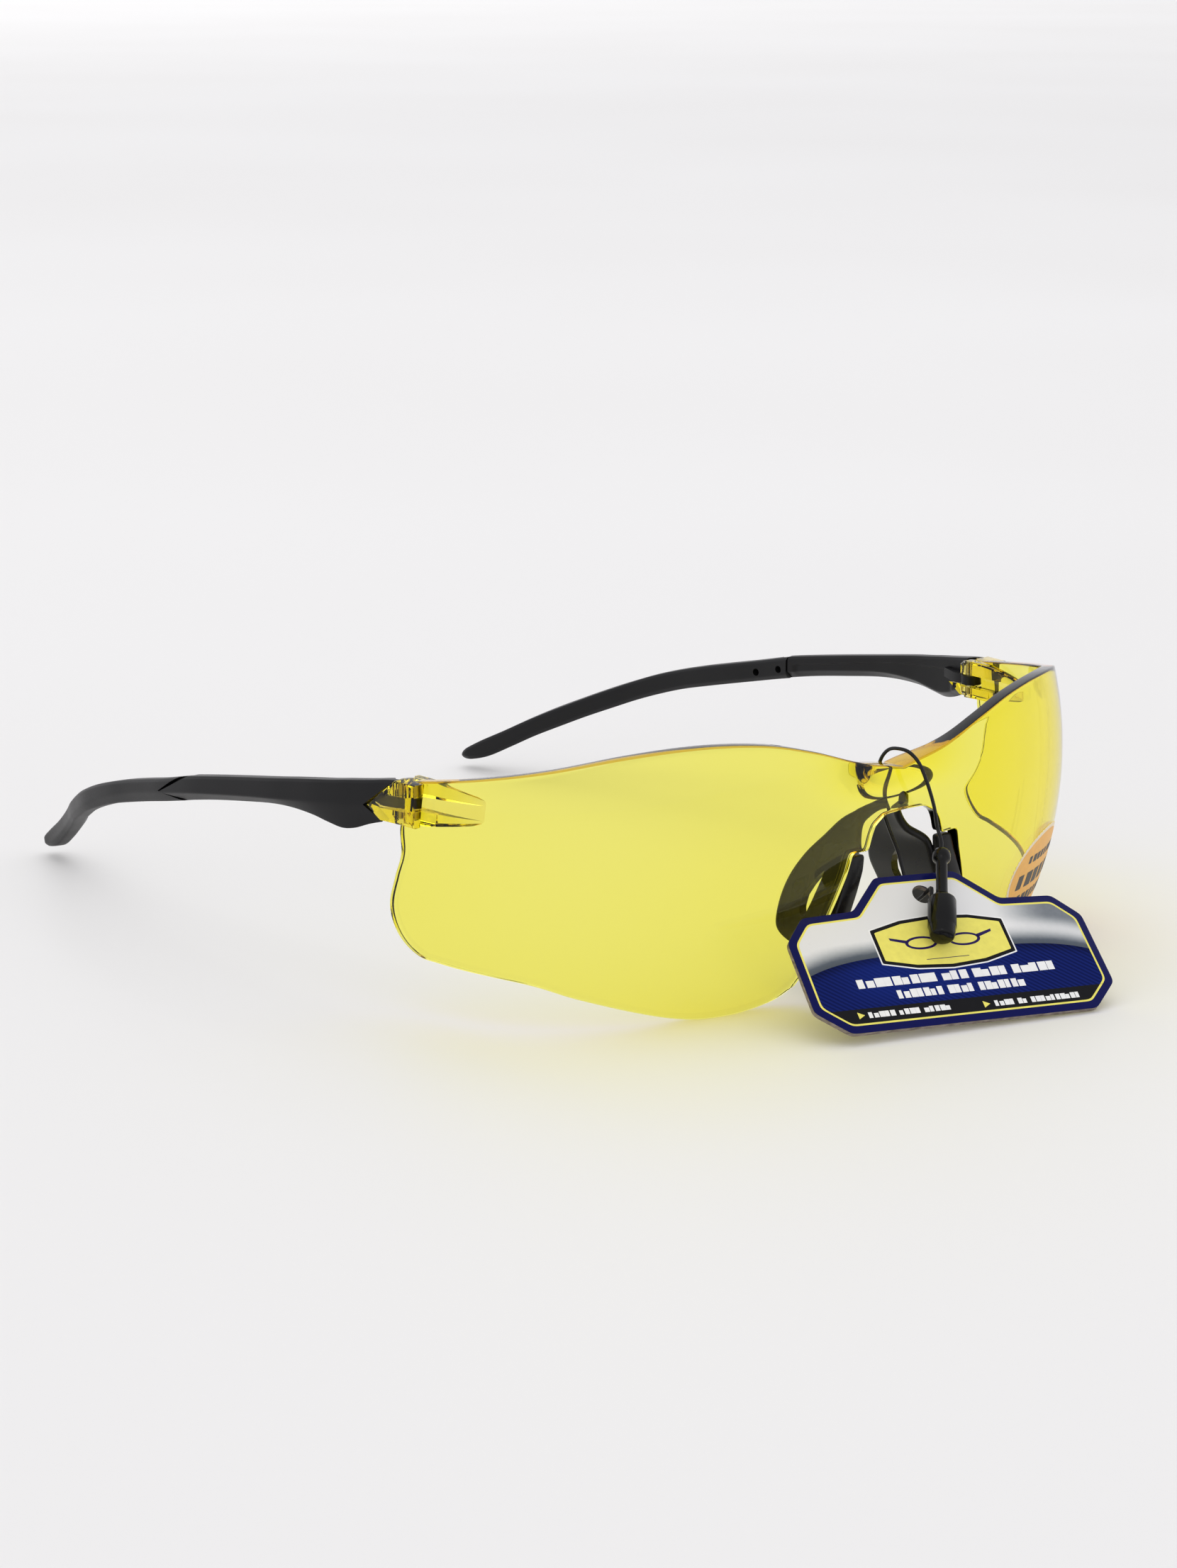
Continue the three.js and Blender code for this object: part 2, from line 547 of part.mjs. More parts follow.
function addPiece(name, geometry, material) {
  const mesh = new THREE.Mesh(geometry, material);
  mesh.name = name;
  glasses.add(mesh);
  return mesh;
}

addPiece('lens', lensGeometry(), finish.lens);
const sided = {
  temple_arm: [armGeometry(), finish.temple],
  temple_tip: [tipGeometry(), finish.temple],
  hinge_pin: [post(pin.x, pin.y, pin.radius, pin.bottom, pin.top), finish.metal],
  nose_pad: [padGeometry(), finish.pad],
};
for (const [name, [geometry, material]] of Object.entries(sided)) {
  const plain = mergeVertices(geometry.index ? geometry : mergeVertices(geometry));
  addPiece(`left_${name}`, plain, material);
  addPiece(`right_${name}`, mirrorX(plain), material);
}
addPiece('lens_sticker', stickerGeometry(), finish.sticker);

// The origin stands under the middle of the glasses, on the surface they rest on.
const bounds = new THREE.Box3().setFromObject(glasses);
const shift = new THREE.Vector3(0, -(bounds.min.y + bounds.max.y) / 2, -bounds.min.z);

const card = addPiece('hang_tag', tagGeometry(), finish.card);
const cardBasis = new THREE.Matrix4().makeBasis(cardFrame.across, cardFrame.up, cardFrame.out);
card.quaternion.setFromRotationMatrix(cardBasis);
card.position.copy(cardFrame.origin);
const lockTurn = new THREE.Quaternion().setFromUnitVectors(new THREE.Vector3(0, 1, 0), lockAxis);
for (const [name, geometry] of [['lock_barrel', barrelGeometry()], ['lock_pin', lockPinGeometry()]]) {
  const piece = addPiece(name, geometry, finish.loop);
  piece.quaternion.copy(lockTurn);
  piece.position.copy(lockFoot);
}
addPiece('tag_loop', loopGeometry(), finish.loop);

glasses.position.copy(shift);

export default glasses;
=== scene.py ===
import json
import math

import bmesh
import bpy
import numpy as np
from mathutils import Matrix, Vector


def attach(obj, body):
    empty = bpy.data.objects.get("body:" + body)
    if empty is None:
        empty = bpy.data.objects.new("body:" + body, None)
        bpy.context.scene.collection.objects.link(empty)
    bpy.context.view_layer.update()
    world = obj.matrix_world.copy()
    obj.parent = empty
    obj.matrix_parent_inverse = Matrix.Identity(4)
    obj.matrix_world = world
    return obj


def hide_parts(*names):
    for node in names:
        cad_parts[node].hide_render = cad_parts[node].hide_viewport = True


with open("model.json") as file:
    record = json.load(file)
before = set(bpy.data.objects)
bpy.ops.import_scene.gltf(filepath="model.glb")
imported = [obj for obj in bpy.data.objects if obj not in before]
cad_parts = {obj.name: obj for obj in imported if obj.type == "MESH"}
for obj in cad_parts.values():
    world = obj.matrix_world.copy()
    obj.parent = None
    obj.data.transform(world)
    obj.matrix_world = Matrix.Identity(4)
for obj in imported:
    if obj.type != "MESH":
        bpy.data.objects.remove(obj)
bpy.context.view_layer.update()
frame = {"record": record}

# Shapes below are worked out in millimetres in the drawing frame of the glasses, with the
# lens front near y = -11 and the hinge pins at y = 33.1, and are shifted into the part's frame
# as they become meshes. The wearer looks along -Y and the wearer's left is +X.
hinge = {"x": 66.5, "y": 33.1, "bore": 1.1, "pin": 0.8, "low": 31.9, "high": 38.0}
joints = {joint["name"]: joint for joint in frame["record"]["behaviour"]["joints"]}
foldPlace = joints["left_temple_fold"]["pos_m"]
groundLift = 0.0173  # brings the lowest point of the drawing up to the ground
drawingShift = np.array([0.0, foldPlace[1] * 1000 - hinge["y"], groundLift])
toMetres = 0.001

view = {"azimuth": -43.393, "elevation": 13.697, "roll": 0.184, "lens": 86.89, "sensor": 36,
        "place": (-0.440144, -0.473572, 0.176951), "nearest": 0.01, "farthest": 50}


def makeCamera():
    # Looks down at the glasses from the front and the wearer's right, with a slight roll.
    azimuth, elevation, roll = (math.radians(view[key]) for key in ("azimuth", "elevation", "roll"))
    back = Vector((math.sin(azimuth) * math.cos(elevation), -math.cos(azimuth) * math.cos(elevation),
                   math.sin(elevation)))
    right = Vector((math.cos(azimuth), math.sin(azimuth), 0))
    up = back.cross(right)
    turnedRight = right * math.cos(roll) + up * math.sin(roll)
    turnedUp = up * math.cos(roll) - right * math.sin(roll)
    pose = Matrix((turnedRight, turnedUp, back)).transposed().to_4x4()
    pose.translation = Vector(view["place"])
    camera = bpy.data.objects.new("camera", bpy.data.cameras.new("camera"))
    bpy.context.scene.collection.objects.link(camera)
    camera.matrix_world = pose
    camera.data.lens = view["lens"]
    camera.data.sensor_width = view["sensor"]
    camera.data.clip_start = view["nearest"]
    camera.data.clip_end = view["farthest"]
    bpy.context.scene.camera = camera


makeCamera()
print("camera placed")


def spline(points, power=0.5, steps=32):
    # Catmull-Rom curve through the points; knots are spaced by distance to the given power.
    known = np.asarray(points, float)
    p = np.vstack([2 * known[0] - known[1], known, 2 * known[-1] - known[-2]])
    knots = np.concatenate([[0], np.cumsum(np.linalg.norm(np.diff(p, axis=0), axis=1) ** power)])
    part = np.repeat(np.arange(1, len(known)), steps)
    share = np.tile(np.arange(steps) / steps, len(known) - 1)
    part, share = np.append(part, len(known) - 1), np.append(share, 1.0)
    t0, t1, t2, t3 = (knots[part + k][:, None] for k in (-1, 0, 1, 2))
    t = t1 + share[:, None] * (t2 - t1)
    p0, p1, p2, p3 = (p[part + k] for k in (-1, 0, 1, 2))
    a1 = ((t1 - t) * p0 + (t - t0) * p1) / (t1 - t0)
    a2 = ((t2 - t) * p1 + (t - t1) * p2) / (t2 - t1)
    a3 = ((t3 - t) * p2 + (t - t2) * p3) / (t3 - t2)
    b1 = ((t2 - t) * a1 + (t - t0) * a2) / (t2 - t0)
    b2 = ((t3 - t) * a2 + (t - t1) * a3) / (t3 - t1)
    return ((t2 - t) * b1 + (t - t1) * b2) / (t2 - t1)


def reachOf(line):
    # Distance walked along a line at each of its points.
    return np.concatenate([[0], np.cumsum(np.linalg.norm(np.diff(line, axis=0), axis=1))])


def atShares(line, shares):
    # Points at the given shares of a line's length.
    reach = reachOf(line)
    wanted = np.asarray(shares, float) * reach[-1]
    return np.stack([np.interp(wanted, reach, column) for column in line.T], -1)


def evenly(line, count):
    # The line again, as so many points at equal distances.
    return atShares(line, np.linspace(0, 1, count))


def bell(radius, step):
    # Weights of a Gaussian average over points that lie a step apart, out to three radii.
    wide = int(3 * radius / step) + 1
    weight = np.exp(-0.5 * (np.arange(-wide, wide + 1) * step / radius) ** 2)
    return wide, weight / weight.sum()


def averaged(line, weight):
    # Each point becomes the weighted average of its neighbours.
    return np.stack([np.convolve(column, weight, "valid") for column in line.T], -1)


def softLine(line, radius, count):
    # A polyline with its corners rounded: a Gaussian average along its length, ends kept.
    samples = 900
    fine = evenly(np.asarray(line, float), samples)
    wide, weight = bell(radius, reachOf(fine)[-1] / (samples - 1))
    padded = np.vstack([2 * fine[0] - fine[wide:0:-1], fine, 2 * fine[-1] - fine[-2:-wide - 2:-1]])
    return evenly(averaged(padded, weight), count)


def softLoops(corners, insets, radius, spacing):
    # A closed outline with its corners rounded in the same way, at several insets.
    sides = np.linalg.norm(np.roll(corners, -1, axis=0) - corners, axis=1)
    counts = np.maximum(2, np.round(sides / spacing)).astype(int)
    share = np.concatenate([np.arange(count) / count for count in counts])[:, None]
    wide, weight = bell(radius, spacing)
    loops = []
    for distance in insets:
        moved = inset(corners, distance)
        start = np.repeat(moved, counts, axis=0)
        after = np.repeat(np.roll(moved, -1, axis=0), counts, axis=0)
        fine = start + share * (after - start)
        loops.append(averaged(np.vstack([fine[-wide:], fine, fine[:wide]]), weight))
    return loops


def softLoop(corners, radius, spacing):
    # One such outline, not moved in.
    return softLoops(np.asarray(corners, float), [0], radius, spacing)[0]


def inset(corners, distance):
    # Moves each side of a closed anticlockwise outline inwards and meets the sides again.
    corners = np.asarray(corners, float)
    side = np.roll(corners, -1, axis=0) - corners
    side /= np.linalg.norm(side, axis=1, keepdims=True)
    inward = np.stack([-side[:, 1], side[:, 0]], -1)
    before = np.roll(inward, 1, axis=0)
    return corners + distance * (inward + before) / (1 + (inward * before).sum(1, keepdims=True))


def smoothStep(low, high, value):
    # Rises from 0 at low to 1 at high, flat at both ends.
    share = np.clip((value - low) / (high - low), 0, 1)
    return share * share * (3 - 2 * share)


def gridQuads(rows, columns, wrap=False):
    # Four-sided faces between neighbours of a rows x columns grid, closed round if wrapped.
    row = np.arange(rows - 1)[:, None]
    column = np.arange(columns if wrap else columns - 1)[None, :]
    beside = (column + 1) % columns
    corners = (row * columns + column, row * columns + beside,
               (row + 1) * columns + beside, (row + 1) * columns + column)
    return np.stack(np.broadcast_arrays(*corners), -1).reshape(-1, 4)


def closedTube(rings):
    # Rings of equal length joined side by side, with one flat face over each end.
    rows, columns = rings.shape[:2]
    faces = gridQuads(rows, columns, wrap=True).tolist()
    faces.append(list(range(columns))[::-1])
    faces.append(list(range((rows - 1) * columns, rows * columns)))
    return rings.reshape(-1, 3), faces


def roundedRings(corners, perSide, passes):
    # Rings of many points through section corners, softened by averaging neighbours.
    share = np.arange(perSide) / perSide
    share = 0.5 * share + 0.5 * (0.5 - 0.5 * np.cos(np.pi * share))
    after = np.roll(corners, -1, axis=1)
    rings = corners[:, :, None] + (after - corners)[:, :, None] * share[None, None, :, None]
    rings = rings.reshape(len(corners), -1, corners.shape[-1])
    for _ in range(passes):
        rings = (np.roll(rings, 1, axis=1) + 2 * rings + np.roll(rings, -1, axis=1)) / 4
    return rings


def plate(outline, levels, place):
    # A closed plate: the outline drawn at several heights, each inset a little along its normals.
    ahead = np.roll(outline, -1, axis=0) - np.roll(outline, 1, axis=0)
    ahead /= np.linalg.norm(ahead, axis=1, keepdims=True)
    inward = np.stack([-ahead[:, 1], ahead[:, 0]], -1)
    rings = np.stack([place(*(outline + inward * step).T, np.full(len(outline), height))
                      for step, height in levels])
    return closedTube(rings)


def softPlate(corners, radius, levels, place, spacing):
    # A closed plate from sharp corners: each (inset, height) gets its own rounded outline.
    loops = softLoops(np.array(corners, float), [step for step, height in levels], radius, spacing)
    return closedTube(np.stack([place(*loop.T, np.full(len(loop), height))
                                for loop, (step, height) in zip(loops, levels)]))


def turned(profile, foot, axis, sides):
    # A profile of (radius, height) spun round an axis that starts at foot.
    axis = np.asarray(axis, float) / np.linalg.norm(axis)
    beside = np.cross(axis, (0.3, 0.5, 0.81))
    beside /= np.linalg.norm(beside)
    third = np.cross(axis, beside)
    angle = np.linspace(0, 2 * np.pi, sides, endpoint=False)
    ring = np.cos(angle)[:, None] * beside + np.sin(angle)[:, None] * third
    radius, height = np.asarray(profile, float).T
    return closedTube(np.asarray(foot) + radius[:, None, None] * ring + height[:, None, None] * axis)


def alongX(outline, low, high):
    # A plate whose outline is in (y, z), pushed along X.
    return plate(np.asarray(outline, float), [(0, low), (0, high)],
                 lambda y, z, x: np.stack([x, y, z], -1))


def alongZ(outline, low, high, edge=0.0):
    # A plate whose outline is in (x, y), pushed along Z, with its rims chamfered by edge.
    levels = [(0, low), (0, high)]
    if edge:
        levels = [(edge, low), (0, low + edge), (0, high - edge), (edge, high)]
    return plate(np.asarray(outline, float), levels, lambda x, y, z: np.stack([x, y, z], -1))


def circle(x, y, radius, sides=48):
    # Points at equal steps round a circle, anticlockwise.
    angle = np.linspace(0, 2 * np.pi, sides, endpoint=False)
    return np.stack([x + radius * np.cos(angle), y + radius * np.sin(angle)], -1)


def rectangle(lowX, lowY, highX, highY):
    return np.array([[lowX, lowY], [highX, lowY], [highX, highY], [lowX, highY]], float)


def mirrored(points, faces):
    # The same shell on the wearer's other side, its faces still outwards.
    return points * np.array([-1.0, 1.0, 1.0]), [list(face)[::-1] for face in faces]


def joined(*shells):
    # Several shells as one list of points and one of faces.
    points, faces, start = [], [], 0
    for some, theirs in shells:
        points.append(some)
        faces.extend([corner + start for corner in face] for face in theirs)
        start += len(some)
    return np.vstack(points), faces


def makeObject(name, shell, slots=None):
    # Moves a shell from the drawing into the part's frame and merges points that coincide.
    points, faces = shell
    mesh = bpy.data.meshes.new(name)
    mesh.from_pydata(((points + drawingShift) * toMetres).tolist(), [], faces)
    if slots is not None:
        mesh.polygons.foreach_set("material_index", slots)
    work = bmesh.new()
    work.from_mesh(mesh)
    bmesh.ops.remove_doubles(work, verts=work.verts, dist=5e-7)
    bmesh.ops.recalc_face_normals(work, faces=work.faces)
    work.to_mesh(mesh)
    work.free()
    piece = bpy.data.objects.new(name, mesh)
    bpy.context.scene.collection.objects.link(piece)
    return piece


def carve(piece, tools, operation, slot=0):
    # Joins or cuts a closed piece with closed tools and keeps the outcome in its mesh.
    for shell in tools:
        tool = makeObject("tool", shell, np.full(len(shell[1]), slot))
        step = piece.modifiers.new("carve", "BOOLEAN")
        step.operation = operation
        step.solver = "EXACT"
        step.object = tool
        graph = bpy.context.evaluated_depsgraph_get()
        result = bpy.data.meshes.new_from_object(piece.evaluated_get(graph))
        if not result.polygons:
            raise ValueError(f"{piece.name} is lost in its {operation}")
        piece.modifiers.clear()
        former = piece.data
        piece.data = result
        result.name = piece.name
        bpy.data.meshes.remove(former)
        spare = tool.data
        bpy.data.objects.remove(tool)
        bpy.data.meshes.remove(spare)


def finishPiece(piece, material, body, nodes, crease=32):
    # Shades a piece smooth up to the crease angle, ties it to its body and hides the CAD nodes that it stands
    # in for.
    if not piece.data.materials:
        piece.data.materials.append(material)
    piece.data.shade_smooth()
    piece.data.set_sharp_from_angle(angle=math.radians(crease))
    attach(piece, body)
    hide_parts(*nodes)
    return piece


# One shader socket; sums and products of these add their Math nodes.
class Value:
    def __init__(self, finish, socket):
        self.finish = finish
        self.socket = socket

    def join(self, operation, other, swapped=False):
        pair = (other, self) if swapped else (self, other)
        return self.finish.add("ShaderNodeMath", {"operation": operation}, {0: pair[0], 1: pair[1]})

    def __add__(self, other):
        return self.join("ADD", other)

    def __sub__(self, other):
        return self.join("SUBTRACT", other)

    def __rsub__(self, other):
        return self.join("SUBTRACT", other, True)

    def __mul__(self, other):
        return self.join("MULTIPLY", other)

    __radd__ = __add__
    __rmul__ = __mul__


# A material that is being built; add() makes any node from its settings and its inputs.
class Finish:
    def __init__(self, name):
        self.material = bpy.data.materials.new(name)
        self.material.use_nodes = True
        self.tree = self.material.node_tree
        self.tree.nodes.clear()

    def add(self, kind, settings=None, inputs=None, output=0):
        node = self.tree.nodes.new(kind)
        for key, value in (settings or {}).items():
            if key == "stops":
                ramp = node.color_ramp
                while len(ramp.elements) < len(value):
                    ramp.elements.new(1.0)
                for element, (position, colour) in zip(ramp.elements, value):
                    element.position = position
                    element.color = (*colour, 1.0)
            else:
                setattr(node, key, value)
        for key, value in (inputs or {}).items():
            if isinstance(value, Value):
                self.tree.links.new(value.socket, node.inputs[key])
            elif isinstance(value, tuple) and node.inputs[key].type == "RGBA" and len(value) == 3:
                node.inputs[key].default_value = (*value, 1.0)
            else:
                node.inputs[key].default_value = value
        return Value(self, node.outputs[output])

    def place(self):
        return self.add("ShaderNodeTexCoord", output="Object")

    def noise(self, scale, detail, stretch=None):
        spot = self.place()
        if stretch:
            spot = self.add("ShaderNodeMapping", None, {"Vector": spot, "Scale": stretch})
        return self.add("ShaderNodeTexNoise", None, {"Vector": spot, "Scale": scale, "Detail": detail})

    def blend(self, factor, first, second):
        return self.add("ShaderNodeMix", {"data_type": "RGBA"}, {0: factor, 6: first, 7: second}, 2)

    def ramp(self, factor, stops):
        return self.add("ShaderNodeValToRGB", {"stops": stops}, {0: factor})

    def bump(self, height, strength, distance):
        return self.add("ShaderNodeBump", None,
                        {"Height": height, "Strength": strength, "Distance": distance})

    def surface(self, inputs):
        return self.add("ShaderNodeBsdfPrincipled", None, inputs)

    def close(self, shader, volume=None):
        output = self.tree.nodes.new("ShaderNodeOutputMaterial")
        self.tree.links.new(shader.socket, output.inputs["Surface"])
        if volume:
            self.tree.links.new(volume.socket, output.inputs["Volume"])
        return self.material


# Amber shares are for the wall, the top edge and the hinge lugs; keeps and density absorb light.
lensLook = {"bend": 1.58, "amber": (0.62, 0.34, 0.10), "shares": (0.0, 1.0, 0.3),
            "keeps": (0.9945, 0.9635, 0.02), "density": 760.0, "shine": (0.35, 0.35, 0.35)}


def lensGlass():
    # Clear plastic that takes blue out of light along its way through the wall, so that thick
    # and long paths go from yellow to amber. Lamps and bounced light pass it unbent.
    f = Finish("yellow clear plastic")
    amount = f.add("ShaderNodeAttribute", {"attribute_name": "amber"}, output="Fac")
    tone = f.blend(amount, (1.0, 1.0, 1.0), lensLook["amber"])
    glass = f.surface({"Base Color": tone, "Transmission Weight": 1.0, "Roughness": 0.0,
                       "Specular Tint": lensLook["shine"], "IOR": lensLook["bend"]})
    through = f.add("ShaderNodeBsdfTransparent", None, {"Color": (0.95, 0.95, 0.95)})
    shadow = f.add("ShaderNodeLightPath", output="Is Shadow Ray")
    bounce = f.add("ShaderNodeLightPath", output="Is Diffuse Ray")
    mix = f.add("ShaderNodeMixShader", None, {0: shadow.join("MAXIMUM", bounce), 1: glass, 2: through})
    volume = f.add("ShaderNodeVolumeAbsorption", None,
                   {"Color": lensLook["keeps"], "Density": lensLook["density"]})
    return f.close(mix, volume)


grainDepth = 0.00002  # metres


def satinPlastic(name, colour, roughness, grain, specular=0.3):
    # Fine moulded grain in the height and the gloss, with a faint cloudy change of colour.
    f = Finish(name)
    fine = f.noise(2600.0, 3.0)
    cloud = f.noise(90.0, 2.0)
    dark = tuple(0.8 * part for part in colour)
    light = tuple(1.25 * part for part in colour)
    tone = f.blend(cloud, dark, light)
    sheen = (cloud - 0.5) * 0.12 + (fine - 0.5) * 0.1 + roughness
    body = f.surface({"Base Color": tone, "Roughness": sheen, "Specular IOR Level": specular,
                      "Normal": f.bump(fine, grain, grainDepth)})
    return f.close(body)


def softPad():
    # Glossy soft plastic with sparse pale specks.
    f = Finish("soft black pad")
    specks = f.add("ShaderNodeTexVoronoi", {"feature": "F1"},
                   {"Vector": f.place(), "Scale": 900.0, "Randomness": 1.0})
    speck = f.ramp(specks, [(0.0, (1, 1, 1)), (0.07, (0.0, 0.0, 0.0))])
    picked = f.ramp(f.noise(420.0, 1.0), [(0.56, (0, 0, 0)), (0.6, (1, 1, 1))])
    spot = speck * picked
    cloud = f.noise(160.0, 2.0)
    rubber = f.blend(cloud, (0.005, 0.005, 0.0055), (0.011, 0.011, 0.0115))
    body = f.surface({"Base Color": f.blend(spot * 0.5, rubber, (0.5, 0.48, 0.44)),
                      "Roughness": (cloud - 0.5) * 0.15 + 0.27, "Specular IOR Level": 0.22,
                      "Normal": f.bump(f.noise(1500.0, 2.0), 0.12, grainDepth)})
    return f.close(body)


def steel():
    # Fine rings round the pin, from a noise that is squeezed along its axis.
    f = Finish("brushed steel")
    brush = f.noise(400.0, 2.0, (1.0, 1.0, 12.0))
    tone = f.blend(brush, (0.42, 0.42, 0.41), (0.62, 0.62, 0.61))
    return f.close(f.surface({"Base Color": tone, "Metallic": 1.0, "Roughness": brush * 0.2 + 0.2}))


def printInk(name, colour, roughness=0.32):
    # Printed and varnished card: a faint paper ripple and a slightly uneven ink.
    f = Finish(name)
    ripple = f.noise(900.0, 3.0)
    dark = tuple(0.88 * part for part in colour)
    light = tuple(min(1.0, 1.1 * part) for part in colour)
    body = f.surface({"Base Color": f.blend(ripple, dark, light),
                      "Roughness": (ripple - 0.5) * 0.15 + roughness,
                      "Specular IOR Level": 0.1, "Normal": f.bump(ripple, 0.08, grainDepth)})
    return f.close(body)


print("materials ready")


# The card leans back towards the lens. The lock's ends are in (across, up) of its face; the loop's
# route is in millimetres of the drawing and its length in metres.
tagPlace = {"x": -7.7, "y": -33.6, "z": 1.0, "yaw": -16.3, "tilt": 50.1, "roll": -2.7}
lock = {"foot": (-1.6, 14.2), "eye": (5.0, 30.8), "lift": 3.25, "barrel": 7.6, "barrelRadius": 2.3,
        "rimAside": 1.75, "pinRadius": 0.95, "bore": 1.3, "floor": 1.4, "holeHeight": 24.4, "gap": 0.3}
loop = {"radius": 0.3, "length": 0.056, "count": 150,
        "route": [(5.3, -13.3, 26.2), (4.0, -13.6, 30.0), (2.0, -13.4, 35.0), (0.9, -12.6, 37.9),
                  (0.5, -11.0, 39.2), (0.4, -9.0, 39.4), (0.5, -6.8, 38.9), (0.6, -5.1, 37.2),
                  (0.5, -4.4, 34.5), (0.4, -4.6, 31.6), (0.8, -5.5, 28.4), (1.0, -7.0, 25.2),
                  (0.4, -9.4, 22.2), (-0.5, -11.4, 19.4), (-0.9, -12.6, 17.0), (-1.0, -14.0, 15.5),
                  (-1.3, -15.9, 16.45), (-1.6, -17.9, 18.3)]}


def cardAxes():
    # Directions across the card, up its face and off its face.
    yaw, tilt, roll = (math.radians(tagPlace[key]) for key in ("yaw", "tilt", "roll"))
    level = np.array([math.cos(yaw), math.sin(yaw), 0])
    ahead = np.array([math.sin(yaw), -math.cos(yaw), 0])
    rise = -ahead * math.sin(tilt) + np.array([0, 0, math.cos(tilt)])
    across = level * math.cos(roll) + rise * math.sin(roll)
    up = rise * math.cos(roll) - level * math.sin(roll)
    return across, up, np.cross(across, up)


cardAcross, cardUp, cardOut = cardAxes()
cardFoot = np.array([tagPlace["x"], tagPlace["y"], tagPlace["z"]])


def onCard(across, up, lift):
    # A point of the card: so far across, up and off its face from the middle of its foot.
    across, up, lift = np.broadcast_arrays(across, up, lift)
    return cardFoot + across[..., None] * cardAcross + up[..., None] * cardUp + lift[..., None] * cardOut


lockFoot = onCard(*lock["foot"], lock["lift"])
lockEye = onCard(*lock["eye"], lock["lift"])
lockLength = float(np.linalg.norm(lockEye - lockFoot))
lockAxis = (lockEye - lockFoot) / lockLength


def loopLine():
    # Out of the pin's eye, over the bridge, down behind it, under it and through the card's hole.
    start = lockEye + lockAxis * lock["gap"]
    lead = start + lockAxis * 0.9 + np.array([0, 0, 0.5])
    aside = onCard(0.0, lock["holeHeight"], lock["lift"]) - lockFoot
    aside -= lockAxis * (aside @ lockAxis)
    aside /= np.linalg.norm(aside)
    rim = lockFoot + lockAxis * (lock["barrel"] + lock["gap"]) + aside * lock["rimAside"]
    above = rim + lockAxis * 1.6
    return evenly(spline([start, lead, *loop["route"], above, rim]), loop["count"])


def makeLoop(material):
    # A round section carried along the loop on directions that turn with it.
    line = loopLine()
    ahead = np.gradient(line, axis=0)
    ahead /= np.linalg.norm(ahead, axis=1, keepdims=True)
    beside = np.cross(ahead, (0.95, 0.2, 0.25))
    beside /= np.linalg.norm(beside, axis=1, keepdims=True)
    third = np.cross(ahead, beside)
    angle = np.linspace(0, 2 * np.pi, 16, endpoint=False)
    ring = np.cos(angle)[:, None] * beside[:, None] + np.sin(angle)[:, None] * third[:, None]
    piece = makeObject("tag_loop_cord", closedTube(line[:, None] + loop["radius"] * ring))
    finishPiece(piece, material, "tag", ("tag_loop",))
    return piece, (line + drawingShift) * toMetres


lockPlastic = satinPlastic("glossy black lock plastic", (0.003, 0.003, 0.0033), 0.18, 0.1, 0.25)
cordPlastic = satinPlastic("glossy black cord", (0.006, 0.006, 0.007), 0.24, 0.15)


def makeLock():
    # The barrel's wall steps in near its foot; the pin has a neck and a rounded eye end.
    radius, bore = lock["barrelRadius"], lock["bore"]
    mouth, top, pin = lock["barrel"], lockLength, lock["pinRadius"]
    barrel = [(0.5, 0), (radius - 0.62, 0), (radius - 0.42, 0.14), (radius - 0.3, 0.5),
              (radius - 0.12, 1.9), (radius - 0.1, 2.05), (radius, 2.2), (radius, mouth - 0.45),
              (radius - 0.07, mouth - 0.2), (radius - 0.25, mouth - 0.02), (radius - 0.5, mouth),
              (bore + 0.2, mouth - 0.06), (bore, mouth - 0.3), (bore, lock["floor"]), (0.3, lock["floor"])]
    shaft = [(0.4, lock["floor"] + 0.3), (pin, lock["floor"] + 0.35), (pin, 8.4), (pin + 0.12, 8.5),
             (pin + 0.12, 8.8), (pin, 8.9), (pin - 0.04, top - 2.9), (pin + 0.1, top - 2.5),
             (1.35, top - 2.15), (1.48, top - 1.85), (1.5, top - 1.1), (1.42, top - 0.7), (1.2, top - 0.35),
             (0.8, top - 0.1), (0.3, top)]
    made = []
    for name, profile, node in (("lock_barrel_body", barrel, "lock_barrel"),
                                ("lock_pin_body", shaft, "lock_pin")):
        piece = makeObject(name, turned(profile, lockFoot, lockAxis, 56))
        made.append(finishPiece(piece, lockPlastic, "tag", (node,), 40))
    return made


loopPiece, loopPath = makeLoop(cordPlastic)
lockPieces = makeLock()
print("loop and lock made, loop length", round(float(reachOf(loopPath)[-1]), 4))


# The lens outline, for one half, is in (distance along the front from the middle, height).
lensShape = {"frontY": -11.28, "foreX": 10.0, "dip": 0.5, "eyeRadius": 97.2, "eyeTurn": 0.296,
             "sideRadius": 44.2, "bulgeRadius": 66.6, "bulgeZ": 24.4, "lean": -0.072,
             "wall": 2.2, "browExtra": 2.4, "browHalf": 11.0, "browLow": 30.6, "browHigh": 37.2,
             "bridgeExtra": 0.03, "bridgeFade": 0.8, "rim": 0.3, "noseRound": 0.45, "noseTop": 0.21,
             "noseColumns": 96, "lowerColumns": 104, "rows": 52}
topEdge = [(0, 36.8), (10, 39.0), (20, 42.1), (30, 44.3), (42, 45.1), (54.5, 44.2), (68.5, 41.7),
           (82, 39.5), (91.2, 38.2)]
noseEdge = [(0, 29.8), (4.6, 29.7), (7.1, 28.4), (7.9, 26.8), (8.6, 24.5), (12.2, 24.7), (13.1, 21.4),
            (14.6, 17.7), (15.8, 14.7), (17.1, 9.6), (18.2, 5.8), (20, 3.2)]
lowerEdge = [(20, 3.2), (24.4, 1.1), (32.5, 0), (42.7, 0.8), (59.9, 5.1), (69.2, 7.6), (83.7, 9.3),
             (88.6, 10.0)]
sideEdge = [(92.6, 12.9), (94.3, 17.4), (93, 22.7), (91.9, 26.7), (92.6, 31.4), (91.2, 38.2)]
